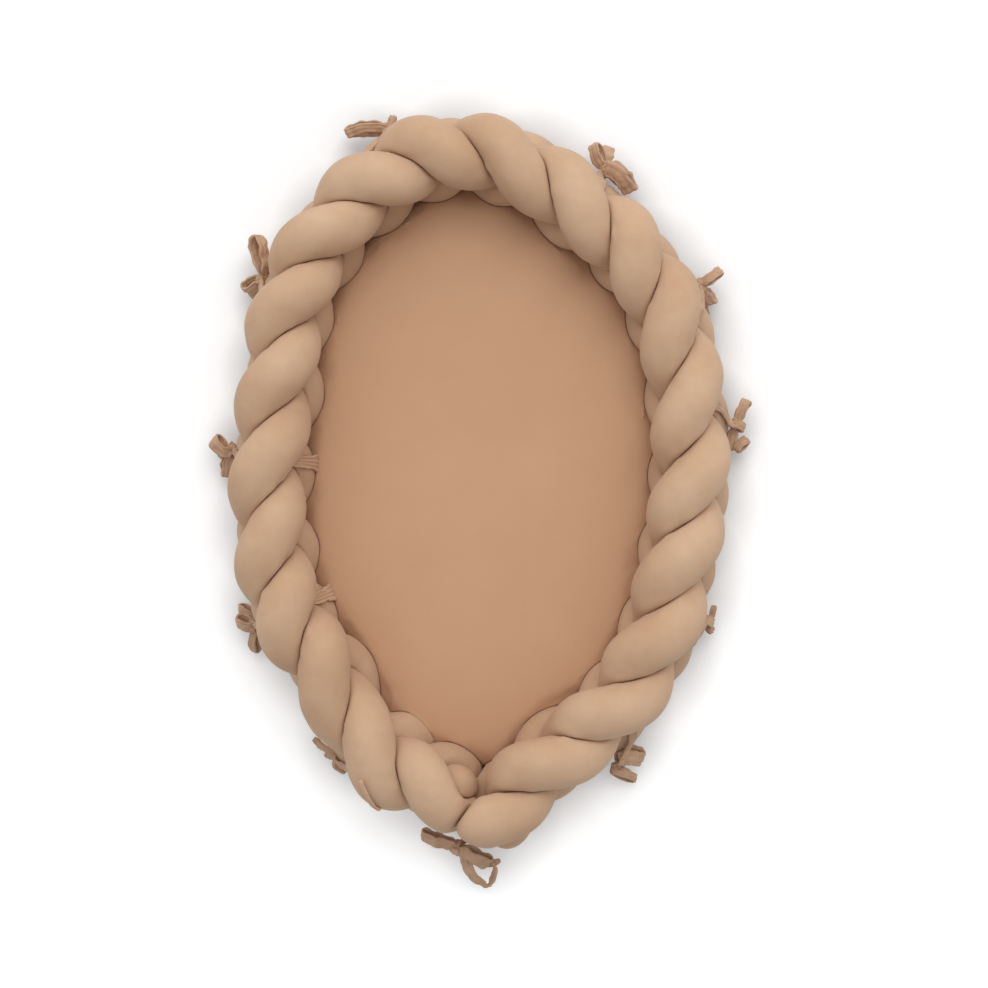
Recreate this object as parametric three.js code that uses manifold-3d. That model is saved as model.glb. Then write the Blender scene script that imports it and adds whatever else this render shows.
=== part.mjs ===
// Braided infant lounger: a flat egg-shaped mattress inside a thick braid of three stuffed strands.
// The braid stands on edge round the mattress and is open at the foot, where a bow closes it. Ten small
// ties, sewn into the mattress seam, go round the lowest strand and are tied in bows on the outside.
// Millimetres, +X to the right, +Y towards the head, +Z up. The origin is on the underside of the
// mattress, in the middle of the loop that the braid makes.

import * as THREE from "three";
import { mergeVertices } from "three/addons/utils/BufferGeometryUtils.js";
import Module from "manifold-3d";

const wasm = await Module();
wasm.setup();

// Clearances
const SEAT_GAP = 0.3; // between pieces that touch
const OVERRUN = 2; // how far a cutting shape runs past the piece that it cuts

// Braid
const LOOP_WIDTH = 504; // across the loop, from the middle of one side's crowns to the other's
const LOOP_LENGTH = 824;
const STRAND_RADIUS = 31.5;
const BRAID_RISE = 49; // how far a strand swings up and down from the braid's middle
const BRAID_SWING = 17; // how far it swings in and out
const STRAND_SPACING = 5.6; // between two strands that press on each other
const FLOOR_PRESS = 4.6; // how much its own weight flattens a strand on the floor
const END_ROUNDING = 36; // length of a strand's rounded end
const TAPE_WIDTH = 16;
const TAPE_THICKNESS = 2.4; // the folded tape sewn over the strands' ends
const TAPE_PRESS_LEFT = 1.6; // how far it presses into the strands' round shape
const TAPE_PRESS_RIGHT = 3;

// Mattress
const MATTRESS_INSET = 45.5; // from the crowns of the braid in to the side of the mattress
const SIDE_BULGE = 0.6;
const SIDE_HEIGHT = 32; // from the floor to the rounded top edge
const EDGE_ROUNDING = 9;
const CROWN_RISE = 8; // how much higher the middle is
const FLANGE_WIDTH = 13; // seam allowance, turned out under the braid
const COVER_THICKNESS = 1.2;
const WADDING_THICKNESS = 6;
const CORE_INSET = 9; // from the cover's side in to the foam

// Ties
const TIE_WIDTH = 11;
const TIE_THICKNESS = 1.6;
const TIE_CLEARANCE = 2.4; // from a strand's skin to a tie that wraps it
const KNOT_HEIGHT = 40;
const KNOT_RADIUS = 7.5;
const KNOT_STANDOFF = 9; // from the braid's flank out to the knot's middle
const LOOP_REACH = 34; // from the knot to the tip of a bow's loop
const LOOP_SPREAD = 9; // half the width of a bow's loop
const TAIL_REACH = 30;

// Zip in the underside
const ZIP_PLACE = -150; // towards the foot, from the origin
const ZIP_LENGTH = 260; // the opening that it closes
const ZIP_SLOT = 16; // width of the opening
const HEM_WIDTH = 8; // the folded hem round the opening, which lifts the zip off the floor
const ZIP_TAPE_HEIGHT = 6.2;
const ZIP_TAPE_THICKNESS = 0.8;
const COIL_WIDTH = 2.6;
const COIL_THICKNESS = 2.2;
const COIL_GAP = 1.8; // between the two coils, where the slider's wedge runs
const SLIDER_LENGTH = 13;
const SLIDER_WIDTH = 9.6;
const SLIDER_PLATE = 1.1;
const SLIDER_CLEARANCE = 0.3;
const BAIL_WIDTH = 1.6;
const BAIL_BAR = 1;
const PULL_LENGTH = 24;
const PULL_WIDTH = 7;
const PULL_THICKNESS = 1.2;
const PULL_PIN_RADIUS = 0.7;
const STOP_LENGTH = 4;

// Derived sizes
const HALF_WIDTH = LOOP_WIDTH / 2;
const HALF_LENGTH = LOOP_LENGTH / 2;
const BRAID_MIDDLE = BRAID_RISE + STRAND_RADIUS - FLOOR_PRESS;
const BRAID_FLANK = BRAID_SWING + STRAND_RADIUS;
const FLANGE_TOP = 2 * COVER_THICKNESS + SEAT_GAP;
const UP = new THREE.Vector3(0, 0, 1);
const EAST = new THREE.Vector3(1, 0, 0);
const NORTH = new THREE.Vector3(0, 1, 0);

// Where each lobe of the braid crests, as shares of half the loop's width and length, clockwise seen
// from above, from the left foot over the head to the right foot. The first and last only lead the path on.
const crownPlaceShares = [
  [0.120, -0.928], [-0.228, -0.868], [-0.505, -0.777], [-0.732, -0.530], [-0.922, -0.360], [-1.001, -0.154],
  [-1.011, 0.086], [-0.962, 0.324], [-0.907, 0.546], [-0.743, 0.744], [-0.485, 0.901], [-0.191, 0.984],
  [0.160, 0.952], [0.493, 0.812], [0.742, 0.671], [0.913, 0.479], [0.990, 0.236], [0.998, 0.010],
  [0.944, -0.208], [0.837, -0.437], [0.635, -0.641], [0.327, -0.790], [0.071, -0.953], [-0.112, -1.145],
];
const LOBES = crownPlaceShares.length - 2;
const STRANDS = 3;

// The first and last place on the braid that a strand reaches, counted in lobes
const braidEndShares = [-0.64, LOBES - 0.64];

// Counts that set how fine the solids are
const STRAND_RINGS = 119;
const STRAND_SIDES = 10;
const RIVAL_STEPS = 24; // places for each lobe at which a neighbouring strand is felt
const LOBE_SHARPNESS = 7; // how crisply a strand turns from its round side to its pressed side
const OUTLINE_STEPS = 44;

// Colours
const cottonColour = 0xc8a888;
const padColour = 0xc19876;
const foamColour = 0xe6dcc4;
const waddingColour = 0xf2efe8;
const zipColour = 0xb08a6a;
const metalColour = 0xb9a47c;

const lounger = new THREE.Group();

function addPiece(name, geometry, colour, metalness = 0) {
  const roughness = metalness > 0 ? 0.4 : 0.9;
  const material = new THREE.MeshStandardMaterial({ color: colour, roughness, metalness });
  const mesh = new THREE.Mesh(geometry, material);
  mesh.name = name;
  lounger.add(mesh);
}

// Solids from rings of points

function facingOut(geometry) {
  const index = geometry.index.array;
  const at = (i) => new THREE.Vector3().fromBufferAttribute(geometry.attributes.position, i);
  let volume = 0;
  for (let i = 0; i < index.length; i += 3) {
    volume += at(index[i]).dot(at(index[i + 1]).cross(at(index[i + 2])));
  }
  if (volume < 0) {
    for (let i = 0; i < index.length; i += 3) {
      [index[i], index[i + 1]] = [index[i + 1], index[i]];
    }
  }
  return geometry;
}

// A closed skin over rings with the same number of points. Each end closes on its own pole, and a round
// loft joins its last ring to its first instead. Each quad folds along the diagonal that lies inwards.
function loft(rings, poles) {
  const sides = rings[0].length;
  const points = rings.flat();
  const index = [];
  const middles = rings.map((ring) =>
    ring.reduce((sum, p) => sum.add(p), new THREE.Vector3()).divideScalar(sides));
  const bands = poles ? rings.length - 1 : rings.length;
  for (let i = 0; i < bands; i += 1) {
    const next = (i + 1) % rings.length;
    const middle = middles[i].clone().lerp(middles[next], 0.5);
    for (let j = 0; j < sides; j += 1) {
      const k = (j + 1) % sides;
      const [a, b, c, d] = [i * sides + j, i * sides + k, next * sides + k, next * sides + j];
      const first = points[a].clone().lerp(points[c], 0.5).distanceTo(middle);
      const second = points[b].clone().lerp(points[d], 0.5).distanceTo(middle);
      if (first < second) {
        index.push(a, b, c, a, c, d);
      } else {
        index.push(a, b, d, b, c, d);
      }
    }
  }
  if (poles) {
    const last = (rings.length - 1) * sides;
    points.push(poles[0], poles[1]);
    for (let j = 0; j < sides; j += 1) {
      const k = (j + 1) % sides;
      index.push(points.length - 2, k, j);
      index.push(points.length - 1, last + j, last + k);
    }
  }
  const geometry = new THREE.BufferGeometry().setFromPoints(points);
  geometry.setIndex(index);
  return facingOut(geometry);
}

// A flat band along a route, with the direction of its width given at each point
function ribbon(route, widths, width = TIE_WIDTH, thickness = TIE_THICKNESS) {
  const rings = route.map((p, i) => {
    const ahead = route[Math.min(i + 1, route.length - 1)].clone();
    const along = ahead.sub(route[Math.max(i - 1, 0)]).normalize();
    const across = widths[i].clone().addScaledVector(along, -widths[i].dot(along)).normalize();
    const face = along.clone().cross(across);
    const corners = [[-1, -1], [1, -1], [1, 1], [-1, 1]];
    return corners.map(([a, f]) =>
      p.clone().addScaledVector(across, a * width / 2).addScaledVector(face, f * thickness / 2));
  });
  return loft(rings, [route[0].clone(), route[route.length - 1].clone()]);
}

// Joining and cutting

function toSolid(geometry) {
  const bare = geometry.clone();
  bare.deleteAttribute("normal");
  bare.deleteAttribute("uv");
  const merged = mergeVertices(bare);
  return new wasm.Manifold(new wasm.Mesh({
    numProp: 3,
    vertProperties: new Float32Array(merged.attributes.position.array),
    triVerts: new Uint32Array(merged.index.array),
  }));
}

function toGeometry(solid) {
  const mesh = solid.getMesh();
  const geometry = new THREE.BufferGeometry();
  geometry.setAttribute("position", new THREE.BufferAttribute(new Float32Array(mesh.vertProperties), 3));
  geometry.setIndex(Array.from(mesh.triVerts));
  return geometry;
}

function fused(geometries) {
  return toGeometry(geometries.map(toSolid).reduce((whole, piece) => whole.add(piece)));
}

function box(x0, x1, y0, y1, z0, z1) {
  const geometry = new THREE.BoxGeometry(x1 - x0, y1 - y0, z1 - z0);
  return geometry.translate((x0 + x1) / 2, (y0 + y1) / 2, (z0 + z1) / 2);
}

// The braid's path

const crownPath = new THREE.CatmullRomCurve3(
  crownPlaceShares.map(([x, y]) => new THREE.Vector3(x * HALF_WIDTH, y * HALF_LENGTH, 0)),
  false,
  "centripetal",
);
const chordShare = 0.25; // the path's direction is taken over this part of a lobe each way

function pathPoint(lobe) {
  return crownPath.getPoint((lobe + 1) / (LOBES + 1));
}

function pathDirection(lobe) {
  return pathPoint(lobe + chordShare).sub(pathPoint(lobe - chordShare)).normalize();
}

function outward(lobe) {
  const along = pathDirection(lobe);
  return new THREE.Vector3(-along.y, along.x, 0);
}

// A point beside the path: how far out, how far up from the floor, and how far on along the path
function besidePath(lobe, out, height, onward = 0) {
  return pathPoint(lobe)
    .addScaledVector(outward(lobe), out)
    .addScaledVector(pathDirection(lobe), onward)
    .addScaledVector(UP, height);
}

// The strands

function strandMiddle(strand, lobe) {
  const phase = 2 * Math.PI * (lobe - strand) / STRANDS + Math.PI / 2;
  return besidePath(lobe, BRAID_SWING * Math.sin(2 * phase), BRAID_MIDDLE + BRAID_RISE * Math.sin(phase));
}

const strandCourses = [];
for (let strand = 0; strand < STRANDS; strand += 1) {
  const [start, end] = braidEndShares;
  const steps = Math.round((end - start) * RIVAL_STEPS);
  const course = [];
  let arc = 0;
  for (let i = 0; i <= steps; i += 1) {
    const lobe = start + (end - start) * i / steps;
    const middle = strandMiddle(strand, lobe);
    arc += i > 0 ? middle.distanceTo(course[i - 1].middle) : 0;
    course.push({ lobe, middle, arc });
  }
  strandCourses.push(course);
}

// The middles of whatever presses on a strand at a place: the other two strands near it, and near the
// foot all three strands of the braid's other end
const NEAR_LOBES = 1.7;
const FOOT_LOBES = 2.5;

function rivalsOf(strand, lobe) {
  const [start, end] = braidEndShares;
  return strandCourses.flatMap((course, other) => course.filter((place) => {
    const beside = other !== strand && Math.abs(place.lobe - lobe) < NEAR_LOBES;
    const across = lobe < start + FOOT_LOBES && place.lobe > end - FOOT_LOBES;
    const back = lobe > end - FOOT_LOBES && place.lobe < start + FOOT_LOBES;
    return beside || across || back;
  }).map((place) => place.middle));
}

// How far a strand's skin stands from its middle in one direction
function skinReach(middle, direction, radius, rivals) {
  let pressed = Infinity;
  for (const rival of rivals) {
    const away = rival.clone().sub(middle);
    const towards = away.dot(direction);
    if (towards > 0) {
      pressed = Math.min(pressed, away.lengthSq() / (2 * towards));
    }
  }
  const limits = [radius, Math.max(pressed - STRAND_SPACING / 2, SEAT_GAP)];
  if (direction.z < 0) {
    limits.push((middle.z - SEAT_GAP) / -direction.z);
  }
  return limits.reduce((sum, limit) => sum + limit ** -LOBE_SHARPNESS, 0) ** (-1 / LOBE_SHARPNESS);
}

// One ring of a strand's skin, square to the strand
function skinRing(strand, lobe, radius, sides) {
  const step = 1 / RIVAL_STEPS / RIVAL_STEPS;
  const middle = strandMiddle(strand, lobe);
  const along = strandMiddle(strand, lobe + step).sub(strandMiddle(strand, lobe - step)).normalize();
  const out = outward(lobe);
  out.addScaledVector(along, -out.dot(along)).normalize();
  const across = along.clone().cross(out);
  const rivals = rivalsOf(strand, lobe);
  const ring = [];
  for (let i = 0; i < sides; i += 1) {
    const turn = 2 * Math.PI * i / sides;
    const direction = out.clone().multiplyScalar(Math.cos(turn)).addScaledVector(across, Math.sin(turn));
    ring.push(middle.clone().addScaledVector(direction, skinReach(middle, direction, radius, rivals)));
  }
  return ring;
}

const endRingShares = [0.12, 0.42]; // of the rounded end's length

function makeStrand(strand) {
  const course = strandCourses[strand];
  const length = course[course.length - 1].arc;
  const lobeAt = (arc) => {
    const i = Math.max(course.findIndex((place) => place.arc >= arc), 1);
    const [before, after] = [course[i - 1], course[i]];
    const share = (arc - before.arc) / (after.arc - before.arc);
    return before.lobe + (after.lobe - before.lobe) * share;
  };
  const arcs = endRingShares.map((share) => share * END_ROUNDING);
  for (let i = 1; i < STRAND_RINGS; i += 1) {
    arcs.push(length * i / STRAND_RINGS);
  }
  arcs.push(...endRingShares.map((share) => length - share * END_ROUNDING).reverse());
  const rings = arcs.map((arc) => {
    const nearEnd = Math.min(arc, length - arc, END_ROUNDING) / END_ROUNDING;
    const radius = STRAND_RADIUS * Math.sqrt(1 - (1 - nearEnd) ** 2);
    return skinRing(strand, lobeAt(arc), radius, STRAND_SIDES);
  });
  return loft(rings, [course[0].middle.clone(), course[course.length - 1].middle.clone()]);
}

["a", "b", "c"].forEach((letter, strand) => {
  addPiece(`braid_strand_${letter}`, makeStrand(strand), cottonColour);
});

// Bands that lie on the braid's skin

// The skin's points close to a section of the braid, as places out from the path and up from the floor
function sectionPoints(strands, lobe, halfBand) {
  const origin = pathPoint(lobe);
  const along = pathDirection(lobe);
  const out = outward(lobe);
  const [stations, sides, reachLobes] = [48, 36, 0.6];
  const points = [];
  for (const strand of strands) {
    for (let i = 0; i <= stations; i += 1) {
      const station = lobe + reachLobes * (2 * i / stations - 1);
      if (station > braidEndShares[0] && station < braidEndShares[1]) {
        for (const p of skinRing(strand, station, STRAND_RADIUS, sides)) {
          const from = p.clone().sub(origin);
          if (Math.abs(from.dot(along)) < halfBand) {
            points.push(new THREE.Vector2(from.dot(out), p.z));
          }
        }
      }
    }
  }
  return points;
}

// A route round those points at a clearance, between two angles about a middle
function wrapRoute(points, middle, clearance, fromDegrees, toDegrees, steps, halfBand) {
  const route = [];
  for (let i = 0; i <= steps; i += 1) {
    const turn = THREE.MathUtils.degToRad(fromDegrees + (toDegrees - fromDegrees) * i / steps);
    const direction = new THREE.Vector2(Math.cos(turn), Math.sin(turn));
    let reach = 0;
    for (const p of points) {
      const from = p.clone().sub(middle);
      if (Math.abs(from.cross(direction)) < halfBand) {
        reach = Math.max(reach, from.dot(direction));
      }
    }
    route.push(direction.multiplyScalar(reach + clearance).add(middle));
  }
  return route;
}

function lowStrand(lobe, inside) {
  return (lobe + (inside ? 1 : 2)) % STRANDS;
}

function sectionMiddle(strand, lobe) {
  const middle = strandMiddle(strand, lobe);
  return new THREE.Vector2(middle.clone().sub(pathPoint(lobe)).dot(outward(lobe)), middle.z);
}

// The tape over the outside of the strands, close to each end of the braid
const TAPE_STEPS = 6;
const tapeAngles = [-36, 24];

function makeEndTape(lobe, press) {
  const points = sectionPoints([0, 1, 2], lobe, TAPE_WIDTH);
  const middle = new THREE.Vector2(0, BRAID_MIDDLE);
  const clearance = TAPE_THICKNESS / 2 - press;
  const wrap = wrapRoute(points, middle, clearance, ...tapeAngles, TAPE_STEPS, TAPE_WIDTH / 3);
  const route = wrap.map((p) => besidePath(lobe, p.x, p.y));
  return ribbon(route, route.map(() => pathDirection(lobe)), TAPE_WIDTH, TAPE_THICKNESS);
}

addPiece("braid_end_tape_left", makeEndTape(0, TAPE_PRESS_LEFT), cottonColour);
addPiece("braid_end_tape_right", makeEndTape(LOBES - 1, TAPE_PRESS_RIGHT), cottonColour);

// Ties

// One loop of a bow: out from the knot along a direction, round, and back
const LOOP_STEPS = 6;

function bowLoop(knot, direction, sideways, reach, spread) {
  const facing = direction.clone().cross(sideways).normalize();
  const route = [];
  for (let i = 0; i <= LOOP_STEPS; i += 1) {
    const share = i / LOOP_STEPS;
    const swell = Math.sin(Math.PI * share);
    const side = Math.sin(2 * Math.PI * share) * spread * swell + Math.cos(Math.PI * share) * TIE_THICKNESS;
    route.push(knot.clone().addScaledVector(direction, reach * swell).addScaledVector(sideways, side));
  }
  return ribbon(route, route.map(() => facing), TIE_WIDTH, TIE_THICKNESS);
}

function bowTail(knot, direction, facing, reach) {
  const route = [0, 1].map((share) => knot.clone().addScaledVector(direction, reach * share));
  return ribbon(route, route.map(() => facing), TIE_WIDTH, TIE_THICKNESS);
}

// A loop or a tail of a bow, turned from one level direction towards another and sloping down
function bowPiece(knot, ahead, aside, [turn, drop, kind, size]) {
  const angle = THREE.MathUtils.degToRad(turn);
  const direction = ahead.clone().multiplyScalar(Math.cos(angle)).addScaledVector(aside, Math.sin(angle));
  const sideways = new THREE.Vector3().crossVectors(UP, direction);
  direction.addScaledVector(UP, -drop).normalize();
  return kind === "loop"
    ? bowLoop(knot, direction, sideways, LOOP_REACH * size, LOOP_SPREAD)
    : bowTail(knot, direction, sideways, TAIL_REACH * size);
}

function knotBall(knot) {
  const [around, down] = [6, 4];
  const geometry = new THREE.SphereGeometry(KNOT_RADIUS, around, down);
  return geometry.translate(knot.x, knot.y, knot.z);
}

// The strip inside the nest: up from the mattress seam over the low strand, into the crease under the crown
const innerSeamShares = [0.38, 0.5]; // how far out on the flange the strip starts, and how high its knee is
const innerAngles = [184, 112];
const INNER_STEPS = 5;

function makeTieInner(tie) {
  const strand = lowStrand(tie.lobe, true);
  const points = sectionPoints([strand], tie.lobe, TIE_WIDTH);
  const middle = sectionMiddle(strand, tie.lobe);
  const clearance = TIE_CLEARANCE + TIE_THICKNESS / 2;
  const wrap = wrapRoute(points, middle, clearance, ...innerAngles, INNER_STEPS, TIE_WIDTH / 2);
  const seatOut = SIDE_BULGE + SEAT_GAP + TIE_THICKNESS / 2;
  const seam = new THREE.Vector2(
    FLANGE_WIDTH * innerSeamShares[0] - MATTRESS_INSET,
    FLANGE_TOP + SEAT_GAP + TIE_THICKNESS / 2,
  );
  const knee = new THREE.Vector2(seatOut - MATTRESS_INSET, SIDE_HEIGHT * innerSeamShares[1]);
  const shoulder = new THREE.Vector2(
    TIE_THICKNESS / 2 + SEAT_GAP - MATTRESS_INSET - EDGE_ROUNDING / 3,
    SIDE_HEIGHT + EDGE_ROUNDING / 2,
  );
  const route = [seam, knee, shoulder, ...wrap].map((p) => besidePath(tie.lobe, p.x, p.y));
  return ribbon(route, route.map(() => pathDirection(tie.lobe)));
}

// The strips outside: one under the braid from the seam, one over the outer low strand, the knot and its bow
const outerAngles = [78, 5];
const OUTER_STEPS = 4;
const outerSeamShares = [0.72, 1.15, 1.4]; // how far out on the flange, and past it, the lower strip runs
const underShares = [0.62, 1, 1.04]; // places out to the flank, for the strip under the braid
const underHeightShares = [0, 0.2, 0.6]; // their heights, as shares of the knot's

function makeTieOuter(tie) {
  const { lobe, onShare, aims } = tie;
  const shift = onShare * STRAND_RADIUS;
  const strand = lowStrand(lobe, false);
  const along = pathDirection(lobe);
  const out = outward(lobe);
  const knotOut = BRAID_FLANK + KNOT_STANDOFF;
  const knot = besidePath(lobe, knotOut, KNOT_HEIGHT, shift);
  const points = sectionPoints([strand], lobe, TIE_WIDTH);
  const middle = sectionMiddle(strand, lobe);
  const clearance = TIE_CLEARANCE + TIE_THICKNESS / 2;
  const wrap = wrapRoute(points, middle, clearance, ...outerAngles, OUTER_STEPS, TIE_WIDTH / 2);
  const over = wrap.map((p, i) => besidePath(lobe, p.x, p.y, shift * (i / (OUTER_STEPS + 1)) ** 2));
  over.push(knot);
  const low = SEAT_GAP + TIE_THICKNESS / 2;
  const seam = outerSeamShares.map((share) => share * FLANGE_WIDTH - MATTRESS_INSET);
  const under = [
    besidePath(lobe, seam[0], FLANGE_TOP + low),
    besidePath(lobe, seam[1], FLANGE_TOP + low),
    besidePath(lobe, seam[2], low),
    ...underShares.map((share, i) =>
      besidePath(lobe, share * BRAID_FLANK + low, low + underHeightShares[i] * KNOT_HEIGHT, shift * share / 2)),
    knot,
  ];
  return fused([
    ribbon(under, under.map(() => along)),
    ribbon(over, over.map(() => along)),
    knotBall(knot),
    ...aims.map((aim) => bowPiece(knot, out, along, aim)),
  ]);
}

// Each tie's lobe, how far on along the braid its knot lies, and its loops and tails: the turn from
// straight out towards the way round in degrees, the slope down, the kind and the share of full length
const ties = [
  { name: "foot_left", lobe: 1, onShare: 0,
    aims: [[55, 0.3, "loop", 0.6], [-50, 0.2, "loop", 0.7], [10, 0.8, "tail", 0.7], [-20, 0.9, "tail", 0.8]] },
  { name: "low_left", lobe: 3, onShare: 0,
    aims: [[70, 0.2, "loop", 0.7], [-60, 0.3, "loop", 0.8], [25, 0.7, "tail", 0.7], [-30, 0.8, "tail", 0.8]] },
  { name: "mid_left", lobe: 5, onShare: 0.24,
    aims: [[35, 0.1, "loop", 0.8], [-55, 0.2, "loop", 0.9], [75, 0.5, "tail", 0.7], [-20, 0.9, "tail", 0.8]] },
  { name: "upper_left", lobe: 7, onShare: 1,
    aims: [[75, -0.2, "loop", 1.3], [-20, 0.2, "loop", 0.8], [-70, 0.5, "tail", 0.7], [15, 0.9, "tail", 0.7]] },
  { name: "head_left", lobe: 9, onShare: 0.82,
    aims: [[-75, 0.1, "loop", 1.1], [55, 0.1, "loop", 0.9], [-50, 0.5, "tail", 0.8], [10, 0.9, "tail", 0.6]] },
  { name: "head_right", lobe: 12, onShare: 0.65,
    aims: [[-35, -0.4, "loop", 1.1], [45, -0.2, "loop", 1.1], [80, 0.3, "tail", 0.8], [10, 0.4, "tail", 0.9]] },
  { name: "upper_right", lobe: 14, onShare: -0.59,
    aims: [[-30, 0, "loop", 0.9], [40, 0.1, "loop", 0.8], [-75, 0.6, "tail", 0.7], [5, 0.9, "tail", 0.8]] },
  { name: "mid_right", lobe: 15, onShare: 0.88,
    aims: [[-65, -0.1, "loop", 1.2], [60, 0.2, "loop", 0.9], [-20, 0.6, "tail", 0.8], [25, 0.9, "tail", 0.8]] },
  { name: "low_right", lobe: 18, onShare: -1.29,
    aims: [[-60, 0.3, "loop", 0.6], [50, 0.3, "loop", 0.6], [-15, 0.9, "tail", 0.6], [20, 0.9, "tail", 0.6]] },
  { name: "foot_right", lobe: 19, onShare: 1.18,
    aims: [[-50, 0.1, "loop", 1], [35, 0.2, "loop", 1.1], [75, 0.4, "tail", 0.8], [-5, 0.9, "tail", 0.8]] },
];

const footAims = [
  [165, 0, "loop", 1.1], [-75, 0.5, "loop", 1.1], [-35, 0.2, "tail", 0.9], [-130, 0.6, "tail", 0.8],
];

for (const tie of ties) {
  addPiece(`tie_${tie.name}_inner`, makeTieInner(tie), cottonColour);
  addPiece(`tie_${tie.name}_outer`, makeTieOuter(tie), cottonColour);
}

// Mattress

// Points at one inset from the braid's path, closed where its two sides meet at the foot
function flankOutline(inset, count) {
  const steps = 400;
  const first = braidEndShares[0];
  const last = braidEndShares[1];
  const side = [];
  for (let i = 0; i <= steps; i += 1) {
    side.push(besidePath(first + (last - first) * i / steps, -inset, 0));
  }
  let meeting = [0, steps];
  let least = Infinity;
  for (let i = 0; i < steps / 4; i += 1) {
    for (let j = steps; j > steps * 3 / 4; j -= 1) {
      const apart = side[i].distanceTo(side[j]);
      if (apart < least) {
        least = apart;
        meeting = [i, j];
      }
    }
  }
  const kept = side.slice(meeting[0], meeting[1] + 1);
  kept.push(kept[0].clone());
  const lengths = [0];
  for (let i = 1; i < kept.length; i += 1) {
    lengths.push(lengths[i - 1] + kept[i].distanceTo(kept[i - 1]));
  }
  const total = lengths[lengths.length - 1];
  const outline = [];
  for (let i = 0; i < count; i += 1) {
    const arc = total * i / count;
    const k = Math.max(lengths.findIndex((length) => length >= arc), 1);
    const share = (arc - lengths[k - 1]) / (lengths[k] - lengths[k - 1]);
    outline.push(kept[k - 1].clone().lerp(kept[k], share));
  }
  return outline;
}

const mattressOutline = flankOutline(MATTRESS_INSET, OUTLINE_STEPS);
const mattressHead = Math.max(...mattressOutline.map((p) => p.y));
const mattressMiddle = new THREE.Vector3(0, (mattressOutline[0].y + mattressHead) / 2, 0);

// The foot tie: two strips, sewn side by side to the mattress's foot seam, run under the V where the braid's
// ends meet, and are tied in front of it
const footFrontShares = [0.02, -1.03]; // where the strips come out, of half the loop's width and length
const footKnotShares = [-0.05, -1.085];
const footSeamShares = [0.3, 1.3, 1.7]; // of the flange's width, from the tip of the mattress outwards
const footRiseShare = 0.45; // of the knot's height, halfway up

function makeFootTie() {
  const tip = mattressOutline[0];
  const front = new THREE.Vector3(footFrontShares[0] * HALF_WIDTH, footFrontShares[1] * HALF_LENGTH, 0);
  const knot = new THREE.Vector3(footKnotShares[0] * HALF_WIDTH, footKnotShares[1] * HALF_LENGTH, KNOT_HEIGHT);
  const along = front.clone().sub(tip).normalize();
  const across = new THREE.Vector3().crossVectors(UP, along);
  const low = SEAT_GAP + TIE_THICKNESS / 2;
  const straps = [-1, 1].map((side) => {
    const aside = side * (TIE_WIDTH / 2 + SEAT_GAP);
    const place = (reach, height) =>
      tip.clone().addScaledVector(along, reach).addScaledVector(across, aside).addScaledVector(UP, height);
    const reach = front.distanceTo(tip);
    const rise = place(reach, low).lerp(knot, 0.5);
    rise.z = KNOT_HEIGHT * footRiseShare;
    rise.addScaledVector(along, TIE_THICKNESS);
    const end = knot.clone().addScaledVector(across, side * TIE_THICKNESS / 2);
    const route = [
      place(footSeamShares[0] * FLANGE_WIDTH, FLANGE_TOP + low),
      place(footSeamShares[1] * FLANGE_WIDTH, FLANGE_TOP + low),
      place(footSeamShares[2] * FLANGE_WIDTH, low),
      place(reach, low),
      rise,
      end,
    ];
    return ribbon(route, route.map(() => across));
  });
  return fused([...straps, knotBall(knot), ...footAims.map((aim) => bowPiece(knot, EAST, NORTH, aim))]);
}

addPiece("foot_tie", makeFootTie(), cottonColour);

// The outline moved out (or in, where out is negative) along its own normals, at a height
function outlineRing(out, height) {
  return mattressOutline.map((p, i) => {
    const before = mattressOutline[(i + OUTLINE_STEPS - 1) % OUTLINE_STEPS];
    const after = mattressOutline[(i + 1) % OUTLINE_STEPS];
    const along = after.clone().sub(before).normalize();
    return new THREE.Vector3(p.x - along.y * out, p.y + along.x * out, height);
  });
}

// A ring drawn in towards the middle by a share, on a crown that rises towards the middle
function crownRing(rim, share, height, rise) {
  return rim.map((p) => {
    const q = mattressMiddle.clone().lerp(p, share);
    q.z = height + rise * (1 - share * share);
    return q;
  });
}

const crownShares = [0.84, 0.56, 0.25];

function crown(rim, height, rise) {
  return crownShares.map((share) => crownRing(rim, share, height, rise));
}

function crownPole(height, rise) {
  return new THREE.Vector3(mattressMiddle.x, mattressMiddle.y, height + rise);
}

function makeCoverTop() {
  const top = SIDE_HEIGHT + EDGE_ROUNDING / 2;
  const base = COVER_THICKNESS + SEAT_GAP;
  const outer = [
    outlineRing(FLANGE_WIDTH, base),
    outlineRing(FLANGE_WIDTH, FLANGE_TOP),
    outlineRing(0, FLANGE_TOP),
    outlineRing(SIDE_BULGE, SIDE_HEIGHT / 2),
    outlineRing(-EDGE_ROUNDING / 4, SIDE_HEIGHT),
    outlineRing(-EDGE_ROUNDING, top),
    ...crown(outlineRing(-EDGE_ROUNDING, 0), top, CROWN_RISE),
  ];
  const inner = [
    outlineRing(-COVER_THICKNESS, base),
    outlineRing(SIDE_BULGE - COVER_THICKNESS, SIDE_HEIGHT / 2),
    outlineRing(-EDGE_ROUNDING / 4 - COVER_THICKNESS, SIDE_HEIGHT - COVER_THICKNESS / 2),
    outlineRing(-EDGE_ROUNDING - COVER_THICKNESS / 2, top - COVER_THICKNESS),
    ...crown(outlineRing(-EDGE_ROUNDING, 0), top - COVER_THICKNESS, CROWN_RISE),
  ];
  const poles = [crownPole(top, CROWN_RISE), crownPole(top - COVER_THICKNESS, CROWN_RISE)];
  return loft([...outer.reverse(), ...inner], poles);
}

const waddingTop = SIDE_HEIGHT + EDGE_ROUNDING / 2 - COVER_THICKNESS - SEAT_GAP;
const waddingBase = waddingTop - WADDING_THICKNESS;

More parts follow.
